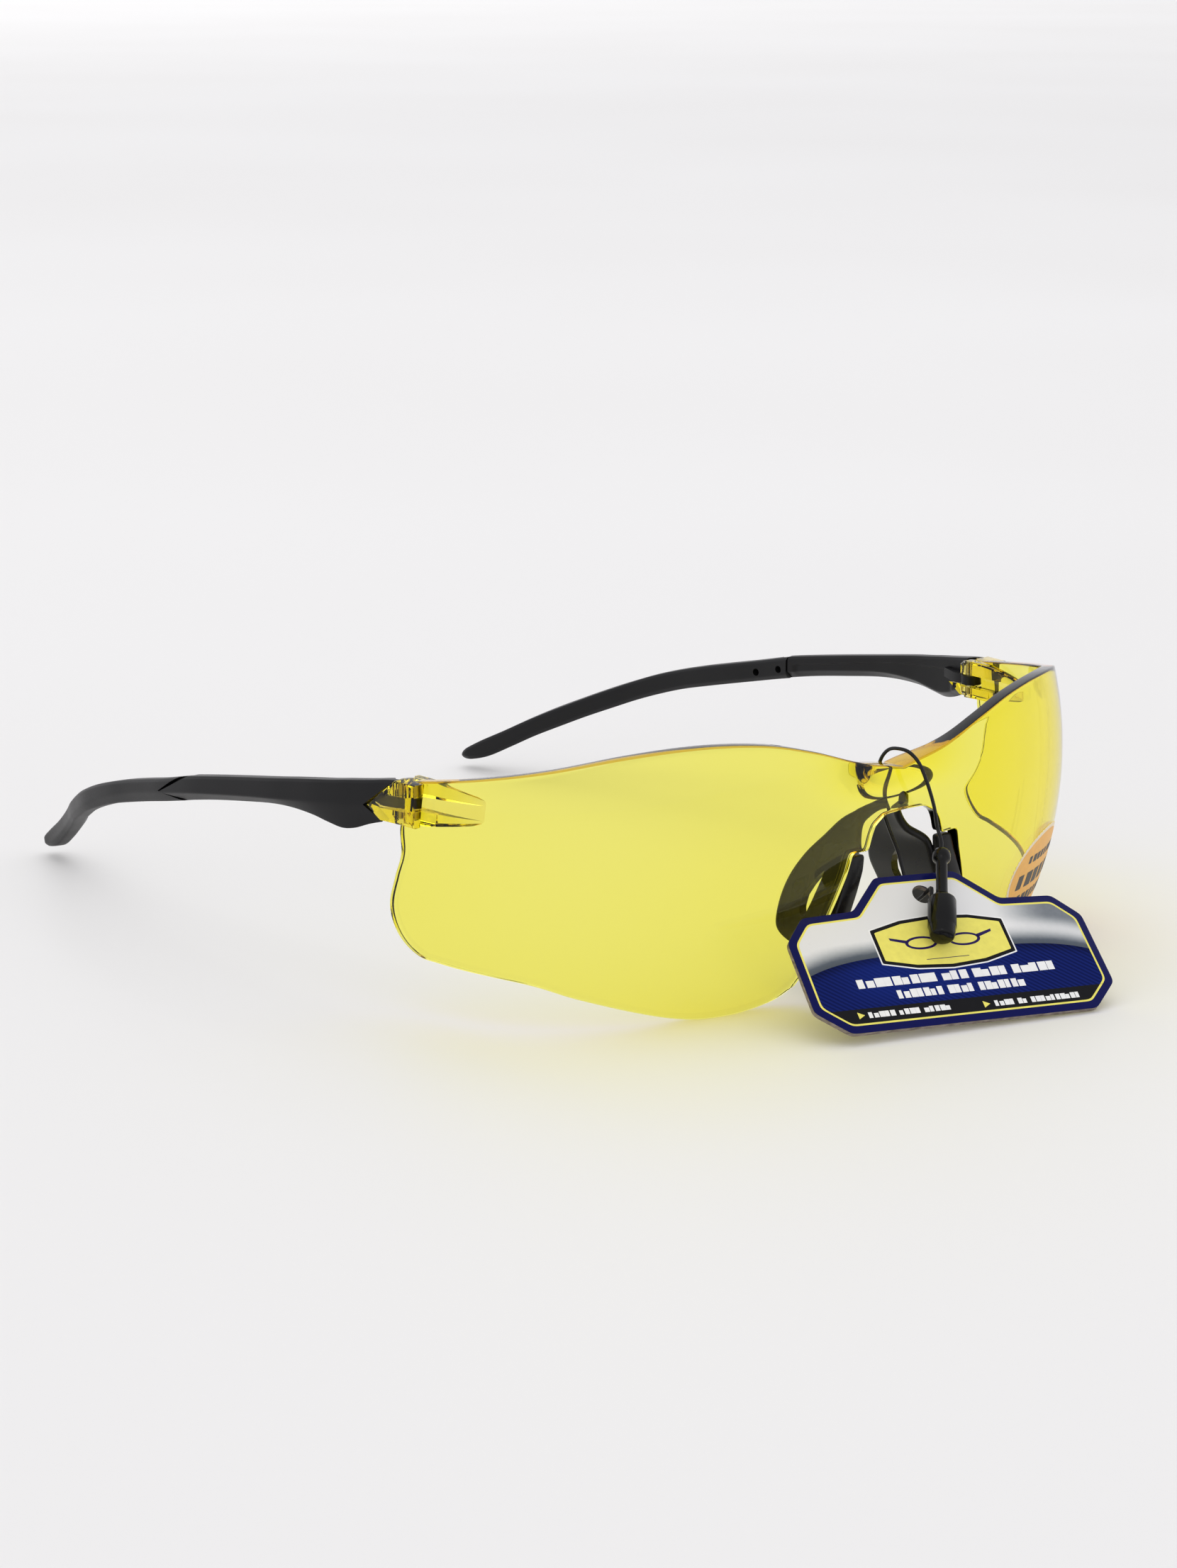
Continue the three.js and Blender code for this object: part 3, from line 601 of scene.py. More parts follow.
bridgeZone = [(25.0, 11.0), (27.1, 10.9), (29.0, 11.0), (31.4, 10.2), (33.3, 10.6), (35.8, 12.8),
              (38.6, 16.3), (40.6, 20.2), (42.5, 25.1), (45.5, 34.0)]  # (height, half width)


def lensPlan(along):
    # Seen from above: a shallow dip at the middle, then an arc across the eye and a tighter one.
    # Gives x, y and the direction that the front faces, at a distance along it.
    s = lensShape
    w = np.abs(along)
    eyeEnd = s["foreX"] + s["eyeRadius"] * s["eyeTurn"]
    q = (w / s["foreX"]) ** 2
    dipY = s["frontY"] + s["dip"] * (1 - q) ** 2
    dipTurn = np.arctan(-4 * s["dip"] * w * (1 - q) / s["foreX"] ** 2)
    eye = np.clip((w - s["foreX"]) / s["eyeRadius"], 0, s["eyeTurn"])
    side = s["eyeTurn"] + np.maximum(w - eyeEnd, 0) / s["sideRadius"]
    x = (s["foreX"] + s["eyeRadius"] * np.sin(eye)
         + s["sideRadius"] * (np.sin(side) - math.sin(s["eyeTurn"])))
    y = (s["frontY"] + s["eyeRadius"] * (1 - np.cos(eye))
         + s["sideRadius"] * (math.cos(s["eyeTurn"]) - np.cos(side)))
    middle = w < s["foreX"]
    x = np.where(middle, w, x)
    y = np.where(middle, dipY, y)
    turn = np.where(middle, dipTurn, np.where(w < eyeEnd, eye, side))
    return np.copysign(x, along), y, np.copysign(1.0, along) * turn


def lensPoint(along, z, inward):
    # The front surface at (along, z), bulged in height, moved inwards along its plan normal.
    x, y, turn = lensPlan(along)
    rise = z - lensShape["bulgeZ"]
    depth = rise ** 2 / (2 * lensShape["bulgeRadius"]) + inward
    return np.stack([x - np.sin(turn) * depth, y + np.cos(turn) * depth + lensShape["lean"] * rise,
                     z + 0 * depth], -1)


def lensDepth(along, z):
    # Wall thickness: thick along the brow, and a small step up all over the bridge.
    s = lensShape
    brow = s["browExtra"] * np.exp(-(along / s["browHalf"]) ** 2) * smoothStep(s["browLow"], s["browHigh"], z)
    past = np.abs(along) - np.interp(z, *np.array(bridgeZone).T)
    return s["wall"] + brow + s["bridgeExtra"] * smoothStep(s["bridgeFade"], -s["bridgeFade"], past)


def lensRim():
    # Half the outline from the middle of the nose arch, round the side, to the middle of the brow.
    s = lensShape
    nose = softLine(noseEdge, s["noseRound"], s["noseColumns"] + 1)
    steps = 32
    low = spline(lowerEdge + sideEdge, 0, steps)
    corner = steps * (len(lowerEdge) - 1)
    low, side = evenly(low[:corner + 1], s["lowerColumns"] + 1), evenly(low[corner:], s["rows"] + 1)
    shares = np.concatenate([np.linspace(0, s["noseTop"], s["noseColumns"] + 1)[:-1],
                             np.linspace(s["noseTop"], 1, s["lowerColumns"] + 1)])
    top = atShares(spline(topEdge, 0), shares)
    return np.vstack([nose[:-1], low, side[1:-1], top[::-1]])


def lensGrid(rim):
    # Coons patch: blends the four edges of the half so that grid lines follow the outline.
    columns = lensShape["noseColumns"] + lensShape["lowerColumns"] + 1
    rows = lensShape["rows"] + 1
    bottom, side, top = rim[:columns], rim[columns - 1:columns + rows - 1], rim[columns + rows - 2:][::-1]
    u = np.linspace(0, 1, columns)[:, None, None]
    v = np.linspace(0, 1, rows)[None, :, None]
    middle = bottom[0] + (top[0] - bottom[0]) * v
    corners = (1 - u) * middle + u * ((1 - v) * bottom[-1] + v * top[-1])
    return (1 - v) * bottom[:, None] + v * top[:, None] + (1 - u) * middle + u * side[None] - corners


def lensHalf():
    # Front and back surfaces, and between them a wall whose two rims are quarter-round.
    rim = lensRim()
    ahead = np.gradient(rim, axis=0)
    ahead /= np.linalg.norm(ahead, axis=1, keepdims=True)
    outward = np.stack([ahead[:, 1], -ahead[:, 0]], -1)
    outward[0], outward[-1] = (0, -1), (0, 1)
    edge = lensShape["rim"]
    grid = lensGrid(rim - edge * outward)
    along, z = grid[..., 0], grid[..., 1]
    front = lensPoint(along, z, np.zeros_like(z))
    back = lensPoint(along, z, lensDepth(along, z))
    angle = np.linspace(0, np.pi / 2, 5)
    strip = []
    for turn, rear in [*((turn, False) for turn in angle), *((turn, True) for turn in angle[::-1])]:
        ring = rim - edge * (1 - np.sin(turn)) * outward
        depth = edge * (1 - np.cos(turn))
        full = lensDepth(ring[:, 0], ring[:, 1])
        strip.append(lensPoint(ring[:, 0], ring[:, 1], full - depth if rear else 0 * full + depth))
    strip = np.stack(strip)
    quads = gridQuads(*grid.shape[:2])
    return joined((front.reshape(-1, 3), quads[:, ::-1].tolist()),
                  (back.reshape(-1, 3), quads.tolist()),
                  (strip.reshape(-1, 3), gridQuads(*strip.shape[:2]).tolist()))


lug = {"outerX": 70.2, "topZ": 38.3, "bottomZ": 31.3, "noseY": 28.0, "topY": 32.5, "apexY": 38.35,
       "apexZ": 33.6, "lowY": 35.5, "lowZ": 31.45, "bossFrom": 75.0, "bossTo": 91.6, "bossGrowth": 13.0,
       "bossDepth": (1.6, 2.4), "bossLow": (33.3, -2.0), "bossHigh": (36.3, 1.8), "bossEdge": 0.35,
       "grooveFrom": 77.2, "grooveTo": 92.5, "grooveDepth": 2.3, "knuckle": 2.0, "knuckleLow": 31.9,
       "knuckleHigh": 37.7, "slotLow": 33.4, "slotHigh": 35.7, "slotDepth": 2.35,
       "leanAt": (28.0, 31.0, 34.8, 38.4), "lean": (-0.2, -0.1, 0.3, 0.9)}


def bossShell():
    # A block on the inner wall that deepens and grows taller towards the hinge.
    along = np.linspace(lug["bossFrom"], lug["bossTo"], 40)
    grow = np.clip((along - lug["bossFrom"]) / lug["bossGrowth"], 0, 1) ** 0.8
    low, high, inner = (start + change * grow
                        for start, change in (lug["bossLow"], lug["bossHigh"], lug["bossDepth"]))
    edge = lug["bossEdge"]
    outer = np.full_like(along, 1.0)
    corners = np.stack([np.stack([outer, low], -1), np.stack([inner - edge, low], -1),
                        np.stack([inner, low + edge], -1), np.stack([inner, high - edge], -1),
                        np.stack([inner - edge, high], -1), np.stack([outer, high], -1)], 1)
    depth, z = roundedRings(corners, 5, 1).transpose(2, 0, 1)
    return closedTube(lensPoint(np.broadcast_to(along[:, None], z.shape), z, depth))


def grooveShell():
    # The groove in the boss, in line with the slot for the temple's tongue.
    along = np.linspace(lug["grooveFrom"], lug["grooveTo"], 30)
    corners = rectangle(lug["grooveDepth"], lug["slotLow"], 8.0, lug["slotHigh"])
    depth, z = np.broadcast_to(corners, (len(along), 4, 2)).transpose(2, 0, 1)
    return closedTube(lensPoint(np.broadcast_to(along[:, None], z.shape), z, depth))


def flush(y, z, x):
    # The lug's outer face leans out to stay level with the temple's skin behind it.
    lean = np.interp(y, lug["leanAt"], lug["lean"])
    return np.stack([x + lean * (x > hinge["x"] + 2), y, z], -1)


def lugShells():
    # The boss, a web to the round knuckle, and the wedge that fills the temple's open mouth.
    s = lug
    outline = [(s["noseY"], s["bottomZ"]), (s["lowY"], s["lowZ"]), (s["apexY"], s["apexZ"]),
               (s["topY"], s["topZ"]), (s["noseY"], s["topZ"] - 0.1)]
    low, high = hinge["x"] - 0.37, s["outerX"]
    wedge = softPlate(outline, 0.13, [(0, low), (0, high - 0.28), (0.08, high - 0.1), (0.28, high)],
                      flush, 0.2)
    knuckle = alongZ(circle(hinge["x"], hinge["y"], s["knuckle"]), s["knuckleLow"], s["knuckleHigh"], 0.4)
    web = alongX(rectangle(27.3, 31.56, hinge["y"] - 0.11, 38.21),
                 hinge["x"] - s["knuckle"] + 0.03, hinge["x"] + 1.23)
    return [bossShell(), web, knuckle, wedge]


def lugCuts():
    # The groove, the slot for the temple's tongue and the bore for the pin.
    depth = lug["slotDepth"]
    slotBox = alongZ(rectangle(hinge["x"] - 12, hinge["y"] - depth, hinge["x"] + depth, hinge["y"] + 12),
                     lug["slotLow"], lug["slotHigh"])
    bore = alongZ(circle(hinge["x"], hinge["y"], hinge["bore"], 40), 29.0, 41.0)
    return [grooveShell(), slotBox, bore]


def makeLens(material):
    # Slots mark the wall, the top edge and the lugs until the cuts are made, then each
    # face keeps a share of amber instead: light leaves the edge and the lugs a little browner.
    half = lensHalf()
    columns, rows = lensShape["noseColumns"] + lensShape["lowerColumns"], lensShape["rows"]
    wall = 2 * columns * rows
    rim = 2 * columns + rows
    place = np.arange(len(half[1]))
    top = (place >= wall) & ((place - wall) % rim >= columns + rows)
    piece = makeObject("lens_shield", joined(half, mirrored(*half)), np.tile(top.astype(int), 2))
    for _ in lensLook["shares"]:
        piece.data.materials.append(None)
    for operation, shells in (("UNION", lugShells()), ("DIFFERENCE", lugCuts())):
        carve(piece, [side for shell in shells for side in (shell, mirrored(*shell))], operation, 2)
    faces = piece.data.polygons
    slots = np.zeros(len(faces), int)
    faces.foreach_get("material_index", slots)
    shares = np.array(lensLook["shares"])[slots]
    piece.data.attributes.new("amber", "FLOAT", "FACE").data.foreach_set("value", shares)
    faces.foreach_set("material_index", np.zeros(len(faces), int))
    piece.data.materials.clear()
    return finishPiece(piece, material, "front", ("lens",), 26)


lensPiece = makeLens(lensGlass())
print("lens made,", len(lensPiece.data.polygons), "faces")


# Arm stations are (y, outer x, top, ridge, bottom, inset of the bottom edge); the tip's line is
# (x, y, z, half height). The arm's skin ends in a point that laps over the tip.
arm = {"thickness": 3.3, "topRound": 0.5, "edge": 0.4, "rise": 1.3, "panel": 0.32,
       "stations": [(31.0, 70.1, 38.4, 34.8, 32.2, 0.5), (34.8, 70.6, 38.0, 34.2, 31.3, 0.4),
                    (38, 71.2, 37.5, 33.7, 30.4, 0.3), (41, 71.7, 37.05, 33.35, 29.3, 0.2),
                    (43.5, 72.1, 36.7, 33.1, 28.9, 0.2), (46.7, 72.5, 36.2, 32.8, 29.35, 0.2),
                    (50, 72.8, 35.75, 32.35, 29.9, 0.3), (55, 73.0, 35.0, 31.75, 30.15, 0.5),
                    (60, 73.2, 34.2, 31.1, 29.9, 0.8), (68, 73.2, 32.95, 30.05, 28.8, 1.0),
                    (76, 73.2, 31.65, 28.9, 27.55, 1.1), (82, 73.1, 30.6, 27.95, 26.4, 1.2),
                    (92, 72.3, 28.6, 26.1, 24.2, 1.2)]}
lap = {"y": 81.8, "apexY": 90.0, "apexZ": 26.6, "topZ": 30.6, "lowZ": 26.4, "skinX": 71.4,
       "slack": 0.2, "gap": 0.55, "under": 0.3}
tip = {"line": [(71.4, 79, 29.1, 2.05), (71.2, 84.5, 27.9, 2.0), (70.7, 90, 26.65, 1.95),
                (69.7, 96, 25.35, 1.95), (68.8, 102, 24.0, 1.95), (68.0, 108, 22.5, 1.9),
                (66.9, 113.5, 20.8, 1.9), (65.4, 119, 18.75, 1.85), (63.2, 124, 16.6, 1.85),
                (60.7, 129, 14.3, 1.8), (58.1, 133.5, 12.05, 1.8), (55.8, 138, 9.7, 1.75),
                (53.7, 143, 6.9, 1.75), (51.9, 148, 4.3, 1.7), (50.5, 152.9, 2.3, 0.9)],
       "halfWidth": 1.7, "corner": 0.55, "endRound": 2.4, "holes": [(84.0, 27.9), (89.4, 26.6)],
       "holeRadius": 0.7, "holeFrom": 66.0, "holeTo": 70.7}
clearance = 0.22  # between the temple and the hinge lug


def armBlade():
    # Ten-cornered sections down the arm, with a ridge outside and a shallow panel sunk inside.
    known = spline(arm["stations"], 0.5)
    y = np.linspace(31.0, 91.5, 170)
    outer, top, ridge, bottom, under = (np.interp(y, known[:, 0], known[:, k]) for k in range(1, 6))
    inner = outer - arm["thickness"]
    edge, rise, soft = arm["edge"], arm["rise"], arm["topRound"]
    sunk = arm["panel"] * smoothStep(39.0, 40.0, y) * smoothStep(80.6, 79.6, y)
    line = top - (0.26 + 0.13 * smoothStep(45, 78, y)) * (top - bottom)
    corners = [(outer - soft - 0.45, top), (inner + edge, top), (inner, top - soft),
               (inner, line + 0.12), (inner + sunk, line - 0.12), (inner + sunk, bottom + rise),
               (outer - under - 2 * edge, bottom + edge / 2), (outer - under - 0.45, bottom),
               (outer + 0.15, ridge), (outer - 0.45, top - soft)]
    corners = np.stack([np.stack(pair, -1) for pair in corners], 1)
    rings = roundedRings(corners, 8, 2)
    along = np.broadcast_to(y[:, None], rings.shape[:2])
    return closedTube(np.stack([rings[..., 0], along, rings[..., 1]], -1))


def aheadOfLap():
    # What the tip leaves free for the arm's pointed skin, with a gap all along the point.
    s = lap
    y, slack = s["y"] + s["gap"], s["slack"] + s["gap"]
    below, above = s["lowZ"] - 9, s["topZ"] + 9
    return [(60, below), (y, below), (y, s["lowZ"] - slack), (s["apexY"] + s["gap"], s["apexZ"]),
            (y, s["topZ"] + slack), (y, above), (60, above)]


def behindLap():
    # All that lies behind the arm's pointed outer skin, and behind the square end of its core.
    s = lap
    below, above, behind = s["lowZ"] - 9, s["topZ"] + 9, 96
    around = [(s["y"], below), (behind, below), (behind, above), (s["y"], above),
              (s["y"], s["topZ"] + s["slack"]), (s["apexY"], s["apexZ"]), (s["y"], s["lowZ"] - s["slack"])]
    return [alongX(around, s["skinX"], 90),
            alongX(rectangle(s["y"], below, behind, above), 40, s["skinX"])]


def makeArm():
    # The blade, less the mouth round the lug, plus the tongue that turns on the pin.
    s = lug
    mouth = [(20, 20), (s["lowY"] - 0.3, 20), (s["lowY"] + clearance, s["lowZ"]),
             (s["apexY"] + clearance, s["apexZ"]), (s["topY"] + clearance, s["topZ"]),
             (s["topY"] + 0.3, 60), (20, 60)]
    swing = alongZ(circle(hinge["x"], hinge["y"], s["knuckle"] + clearance), 20, 60)
    low, high = s["slotLow"] + 0.3, s["slotHigh"] - 0.3
    disc = alongZ(circle(hinge["x"], hinge["y"], 1.9), low, high, 0.12)
    web = np.array([(-1.2, 0), (1.9, 0), (1.9, 7.5), (1.1, 7.5), (-1.2, 3.0)]) + (hinge["x"], hinge["y"])
    web = alongZ(web, low, high)
    bore = alongZ(circle(hinge["x"], hinge["y"], hinge["bore"], 40), 20, 60)
    piece = makeObject("arm", armBlade())
    carve(piece, [*behindLap(), alongX(mouth, 50, 90), swing], "DIFFERENCE")
    carve(piece, [web, disc], "UNION")
    carve(piece, [bore], "DIFFERENCE")
    return piece


def tipBar():
    # A section with a ridge on its outer side, carried along the centre line to a rounded end.
    path = spline(tip["line"], 0.5)
    straight = 0.965  # share of the length after which the sections crowd together
    crowded = straight + (1 - straight) * np.sin(np.linspace(0, np.pi / 2, 14))[1:]
    path = atShares(path, np.concatenate([np.linspace(0, straight, 110), crowded]))
    centre, half = path[:, :3], path[:, 3]
    ahead = np.gradient(centre, axis=0)
    ahead /= np.linalg.norm(ahead, axis=1, keepdims=True)
    outward = np.stack([ahead[:, 1], -ahead[:, 0], 0 * half], -1)
    outward /= np.linalg.norm(outward, axis=1, keepdims=True)
    up = np.cross(outward, ahead)
    reach = reachOf(centre)
    left = np.clip((reach[-1] - reach) / tip["endRound"], 0, 1)
    swell = np.sqrt(np.maximum(1 - (1 - left) ** 2, 0.0004))
    w, h = tip["halfWidth"] * swell, half * swell
    flat = smoothStep(100, 125, centre[:, 1])
    c = tip["corner"] * swell
    corners = [(w - c, h), (c - w, h), (-w, h - c), (-w, 1.6 * c - h), (1.4 * c - w, -h),
               (w - (2.2 - flat) * c, -h), (w, -0.1 * h - 0.4 * h * flat), (w, h - c)]
    corners = np.stack([np.stack(pair, -1) for pair in corners], 1)
    rings = roundedRings(corners, 8, 4)
    return closedTube(centre[:, None] + rings[..., :1] * outward[:, None] + rings[..., 1:] * up[:, None])


def makeTip():
    # The bar, less the arm's core and pointed skin, with two blind holes in its inner side.
    piece = makeObject("tip", tipBar())
    core = alongX(rectangle(20, -5, lap["y"] + lap["under"], 60), 40, lap["skinX"])
    skin = alongX(aheadOfLap(), lap["skinX"] - lap["under"], 90)
    holes = [alongX(circle(y, z, tip["holeRadius"], 32), tip["holeFrom"], tip["holeTo"])
             for y, z in tip["holes"]]
    carve(piece, [core, skin, *holes], "DIFFERENCE")
    return piece


def copySides(source, name, material, nodeName, bodies, crease=32):
    # Keeps the wearer's left piece and makes its mirror image for the right.
    for side, body in zip(("left", "right"), bodies):
        mesh = source.data.copy()
        piece = bpy.data.objects.new(f"{side}_{name}", mesh)
        bpy.context.scene.collection.objects.link(piece)
        if side == "right":
            mesh.transform(Matrix.Scale(-1, 4, Vector((1, 0, 0))))
            mesh.flip_normals()
        mesh.name = piece.name
        finishPiece(piece, material, body, (f"{side}_{nodeName}",), crease)
    spare = source.data
    bpy.data.objects.remove(source)
    bpy.data.meshes.remove(spare)


templePlastic = satinPlastic("satin charcoal temple", (0.004, 0.004, 0.0048), 0.36, 0.3, 0.24)
tipRubber = satinPlastic("satin charcoal temple tip", (0.006, 0.006, 0.007), 0.42, 0.35, 0.26)
templeBodies = ("left_temple", "right_temple")
copySides(makeArm(), "arm_shell", templePlastic, "temple_arm", templeBodies)
copySides(makeTip(), "tip_sleeve", tipRubber, "temple_tip", templeBodies)


def makePin():
    # A plain rod with its ends broken.
    radius, length = hinge["pin"], hinge["high"] - hinge["low"]
    profile = [(0.15, 0), (radius - 0.2, 0), (radius, 0.15), (radius, length - 0.2),
               (radius - 0.2, length), (0.15, length)]
    return makeObject("pin", turned(profile, (hinge["x"], hinge["y"], hinge["low"]), (0, 0, 1), 40))


copySides(makePin(), "hinge_rod", steel(), "hinge_pin", ("front", "front"), 40)
print("temples made")


# The wing's front and rear edges from the top stub down, the slot in (y, z) and the flange that
# lies behind the lens edge in (x, z).
pad = {"front": [(1.8, -7.0, 29.8), (3.2, -6.7, 29.5), (4.7, -5.5, 27.4), (6.2, -6.2, 24.9),
                 (8.3, -8.8, 22.9), (9.5, -9.3, 19.2), (11.5, -9.0, 15.0), (13.2, -8.5, 11.5),
                 (14.2, -7.6, 9.0)],
       "rear": [(2.0, -7.0, 32.5), (3.6, -6.0, 31.8), (5.1, -2.5, 28.8), (6.8, 0.8, 24.8),
                (8.0, 3.6, 21.4), (9.8, 5.4, 17.6), (12.1, 5.5, 13.6), (13.6, 4.6, 10.0),
                (13.9, 2.2, 7.4)],
       "wall": 1.4, "edge": 0.7, "endFrom": 0.84, "length": 28.8,
       "slot": [(-1.9, 20.1), (-0.7, 18.8), (0.2, 17.3), (0.8, 15.6), (0.6, 13.9), (0.1, 13.0),
                (-0.8, 12.8), (-1.3, 15.2), (-1.6, 17.9)],
       "flange": [(8.7, 23.9), (9.0, 21.2), (10.4, 17.6), (12.0, 14.2), (13.6, 10.4), (16.35, 10.4),
                  (15.35, 14.7), (14.15, 17.7), (12.65, 21.4), (11.95, 23.9)],
       "flangeLevels": [(0.32, -8.9), (0, -9.2), (0, -10.2), (0.1, -10.4), (0.32, -10.5)]}


def padWing():
    # A blade between a front and a rear curve, whose thickness rounds off towards all its edges
    # as the square root of 1 - (1 - distance / edge) squared, a quarter circle.
    front, rear = spline(pad["front"], 0.5, 12), spline(pad["rear"], 0.5, 12)
    u = np.linspace(0, 1, len(front))
    v = 0.5 - 0.5 * np.cos(np.linspace(0, np.pi, 41))
    ending = np.clip((u - pad["endFrom"]) / (1 - pad["endFrom"]), 0, 1)
    squeeze = np.sqrt(1 - ending ** 2)[:, None]
    share = 0.5 + (v[None, :] - 0.5) * squeeze
    middle = front[:, None] + (rear - front)[:, None] * share[..., None]
    across = rear - front
    down = np.gradient(middle, axis=0)
    facing = np.cross(np.broadcast_to(across[:, None], down.shape), down)
    length = np.linalg.norm(facing, axis=2, keepdims=True)
    facing = facing / np.maximum(length, 1e-6)
    facing[-1] = facing[-2]
    width = np.linalg.norm(across, axis=1)[:, None] * squeeze
    near = np.minimum(width * np.minimum(v, 1 - v), pad["length"] * np.minimum(u, 1 - u)[:, None])
    rounding = np.sqrt(np.clip(1 - (1 - np.clip(near / pad["edge"], 0, 1)) ** 2, 0, 1))
    offset = facing * (0.5 * pad["wall"] * rounding)[..., None]
    quads = gridQuads(len(u), len(v))
    return joined(((middle + offset).reshape(-1, 3), quads.tolist()),
                  ((middle - offset).reshape(-1, 3), quads[:, ::-1].tolist()))


def makePad():
    # The wing joined with its flange and cut through by its slot.
    piece = makeObject("pad", padWing())
    flange = softPlate(pad["flange"], 0.45, pad["flangeLevels"], lambda x, z, y: np.stack([x, y, z], -1), 0.2)
    slot = softLoop(pad["slot"][::-1], 0.18, 0.12)
    carve(piece, [flange], "UNION")
    carve(piece, [alongX(slot, 2.0, 22.0)], "DIFFERENCE")
    return piece


copySides(makePad(), "pad_blade", softPad(), "nose_pad", ("front", "front"), 40)
print("nose pads made")


# The card's outline and badge are in (across, up) of its face. Board, sheet and the inks are
# heights off its middle; halo, rim and face are how far the badge's outline moves in.
card = {"outline": [(22.1, 0), (27.1, 4.5), (26.8, 17.7), (22.8, 22), (13.4, 22.4), (7.3, 28.4)],
        "hole": 1.75, "round": 0.55, "line": 1.28, "panel": 1.62, "swoosh": (13.5, 2.3), "strip": 4.25,
        "board": (-0.4, 0.45), "sheet": (0.4, 0.63), "print": 0.6, "silver": 0.652, "blue": 0.66,
        "black": 0.667, "mark": 0.683, "eyes": 0.687, "words": 0.686, "halo": -0.6, "rim": -0.36,
        "face": 0.26,
        "badge": [(11.65, 18.1), (6.2, 19.4), (0, 19.85), (-6.2, 19.4), (-11.65, 18.1), (-11.7, 12.35),
                  (-6.2, 11.0), (0, 10.55), (6.2, 11.0), (11.7, 12.35)]}


def cardOutline(shrink=0.0):
    # The card's outline moved in by shrink, then rounded at its corners.
    right = np.array(card["outline"], float)
    left = right[::-1] * np.array([-1.0, 1.0])
    return softLoop(inset(np.vstack([right, left]), shrink), card["round"], 0.2)


def swoosh(across):
    # Height of the blue field: level in the middle and falling steeply near both ends.
    top, drop = card["swoosh"]
    return top - drop * (np.abs(across) / 25) ** 4


def panelBelow(limit):
    # The part of the inner panel that lies below a line across the card.
    outline = cardOutline(card["panel"])
    height = np.minimum(outline[:, 1], limit(outline[:, 0]))
    return np.stack([outline[:, 0], height], -1)


def cardShell(outline, low, high, edge=0.0):
    # A plate on the card, from low to high off its middle, with its rims rounded by edge.
    levels = [(0, low), (0, high)]
    if edge:
        levels = [(edge, low), (0, low + edge), (0, high - edge),
                  (edge * 0.3, high - edge * 0.3), (edge, high)]
    return plate(np.asarray(outline, float), levels, onCard)


def inkShell(outline, high):
    # A print layer, up to its own height off the card.
    return cardShell(outline, card["print"], high)


def cardUv(piece):
    # Stores (across, up) of the card, in units of 100 mm, as the piece's UV map.
    mesh = piece.data
    places = np.empty(len(mesh.vertices) * 3)
    mesh.vertices.foreach_get("co", places)
    places = places.reshape(-1, 3) / toMetres - drawingShift - cardFoot
    uv = np.stack([places @ cardAcross, places @ cardUp], -1) / 100
    corners = np.empty(len(mesh.loops), int)
    mesh.loops.foreach_get("vertex_index", corners)
    mesh.uv_layers.new(name="card").data.foreach_set("uv", uv[corners].ravel())


def cardPiece(name, shells, material, holed):
    # One layer of the card, punched through if holed, with the card's UV map.
    piece = makeObject(name, joined(*shells))
    if holed:
        carve(piece, [cardShell(circle(0, lock["holeHeight"], card["hole"], 56), -1.0, 2.0)], "DIFFERENCE")
    cardUv(piece)
    return finishPiece(piece, material, "tag", ("hang_tag",), 35)


def cardCoordinates(f):
    # Across and up the card in millimetres, from the UV map.
    place = f.add("ShaderNodeUVMap", {"uv_map": "card"})
    parts = f.add("ShaderNodeSeparateXYZ", None, {0: place})
    return parts * 100.0, Value(f, parts.socket.node.outputs[1]) * 100.0


def smooth(f, value, low, high):
    # smoothStep as a node.
    return f.add("ShaderNodeMapRange", {"interpolation_type": "SMOOTHSTEP"},
                 {"Value": value, "From Min": low, "From Max": high})


def aboveSwoosh(across, up):
    # Distance of a point above the swoosh, the same curve as swoosh() gives.
    top, drop = card["swoosh"]
    return up - (across.join("ABSOLUTE", 0.0) * 0.04).join("POWER", 4.0) * -drop - top


def silverPrint():
    # A brushed silver gradient: shaded just above the swoosh and towards the upper right.
    f = Finish("silver print")
    across, up = cardCoordinates(f)
    lift = aboveSwoosh(across, up)
    low = smooth(f, lift, -0.2, 4.2)
    corner = smooth(f, across, 8.0, 21.0) * smooth(f, lift, 2.2, 6.0)
    left = smooth(f, across, -24.0, -12.0) * 0.1 + 0.9
    tone = (low * 0.8 + 0.2) * (corner * -0.62 + 1.0) * left
    grain = (f.noise(1400.0, 2.0) - 0.5) * 0.05
    colour = f.ramp(tone + grain, [(0.0, (0.03, 0.035, 0.045)), (0.3, (0.1, 0.12, 0.15)),
                                   (0.6, (0.46, 0.48, 0.5)), (0.9, (0.82, 0.82, 0.83))])
    return f.close(f.surface({"Base Color": colour, "Roughness": grain + 0.3, "Specular IOR Level": 0.2,
                              "Normal": f.bump(f.noise(900.0, 3.0), 0.08, grainDepth)}))


def twillPrint():
    # Royal blue with a fine diagonal twill and a painted sheen: a soft lighter patch in the middle left.
    f = Finish("blue twill print")
    across, up = cardCoordinates(f)
    twill = ((across * 0.8 + up) * 7.2).join("SINE", 0.0) * 0.5 + 0.5
    # Painted sheen: the blue is made lighter over a soft patch in the middle left.
    paintedSheen = smooth(f, across, -24.0, -12.0) * smooth(f, across, 16.0, -2.0) * smooth(f, up, 3.0, 8.0)
    shade = smooth(f, aboveSwoosh(across, up), 0.0, -2.0) * 0.6 + 0.4
    bright = f.blend(paintedSheen, (0.001, 0.006, 0.075), (0.003, 0.014, 0.15))
    field = f.blend(shade, (0.001, 0.002, 0.015), bright)
    colour = f.blend(twill * 0.6 * shade, field, (0.008, 0.022, 0.2))
    return f.close(f.surface({"Base Color": colour, "Roughness": twill * 0.06 + 0.28,
                              "Specular IOR Level": 0.06,
                              "Normal": f.bump(f.noise(900.0, 3.0), 0.08, grainDepth)}))


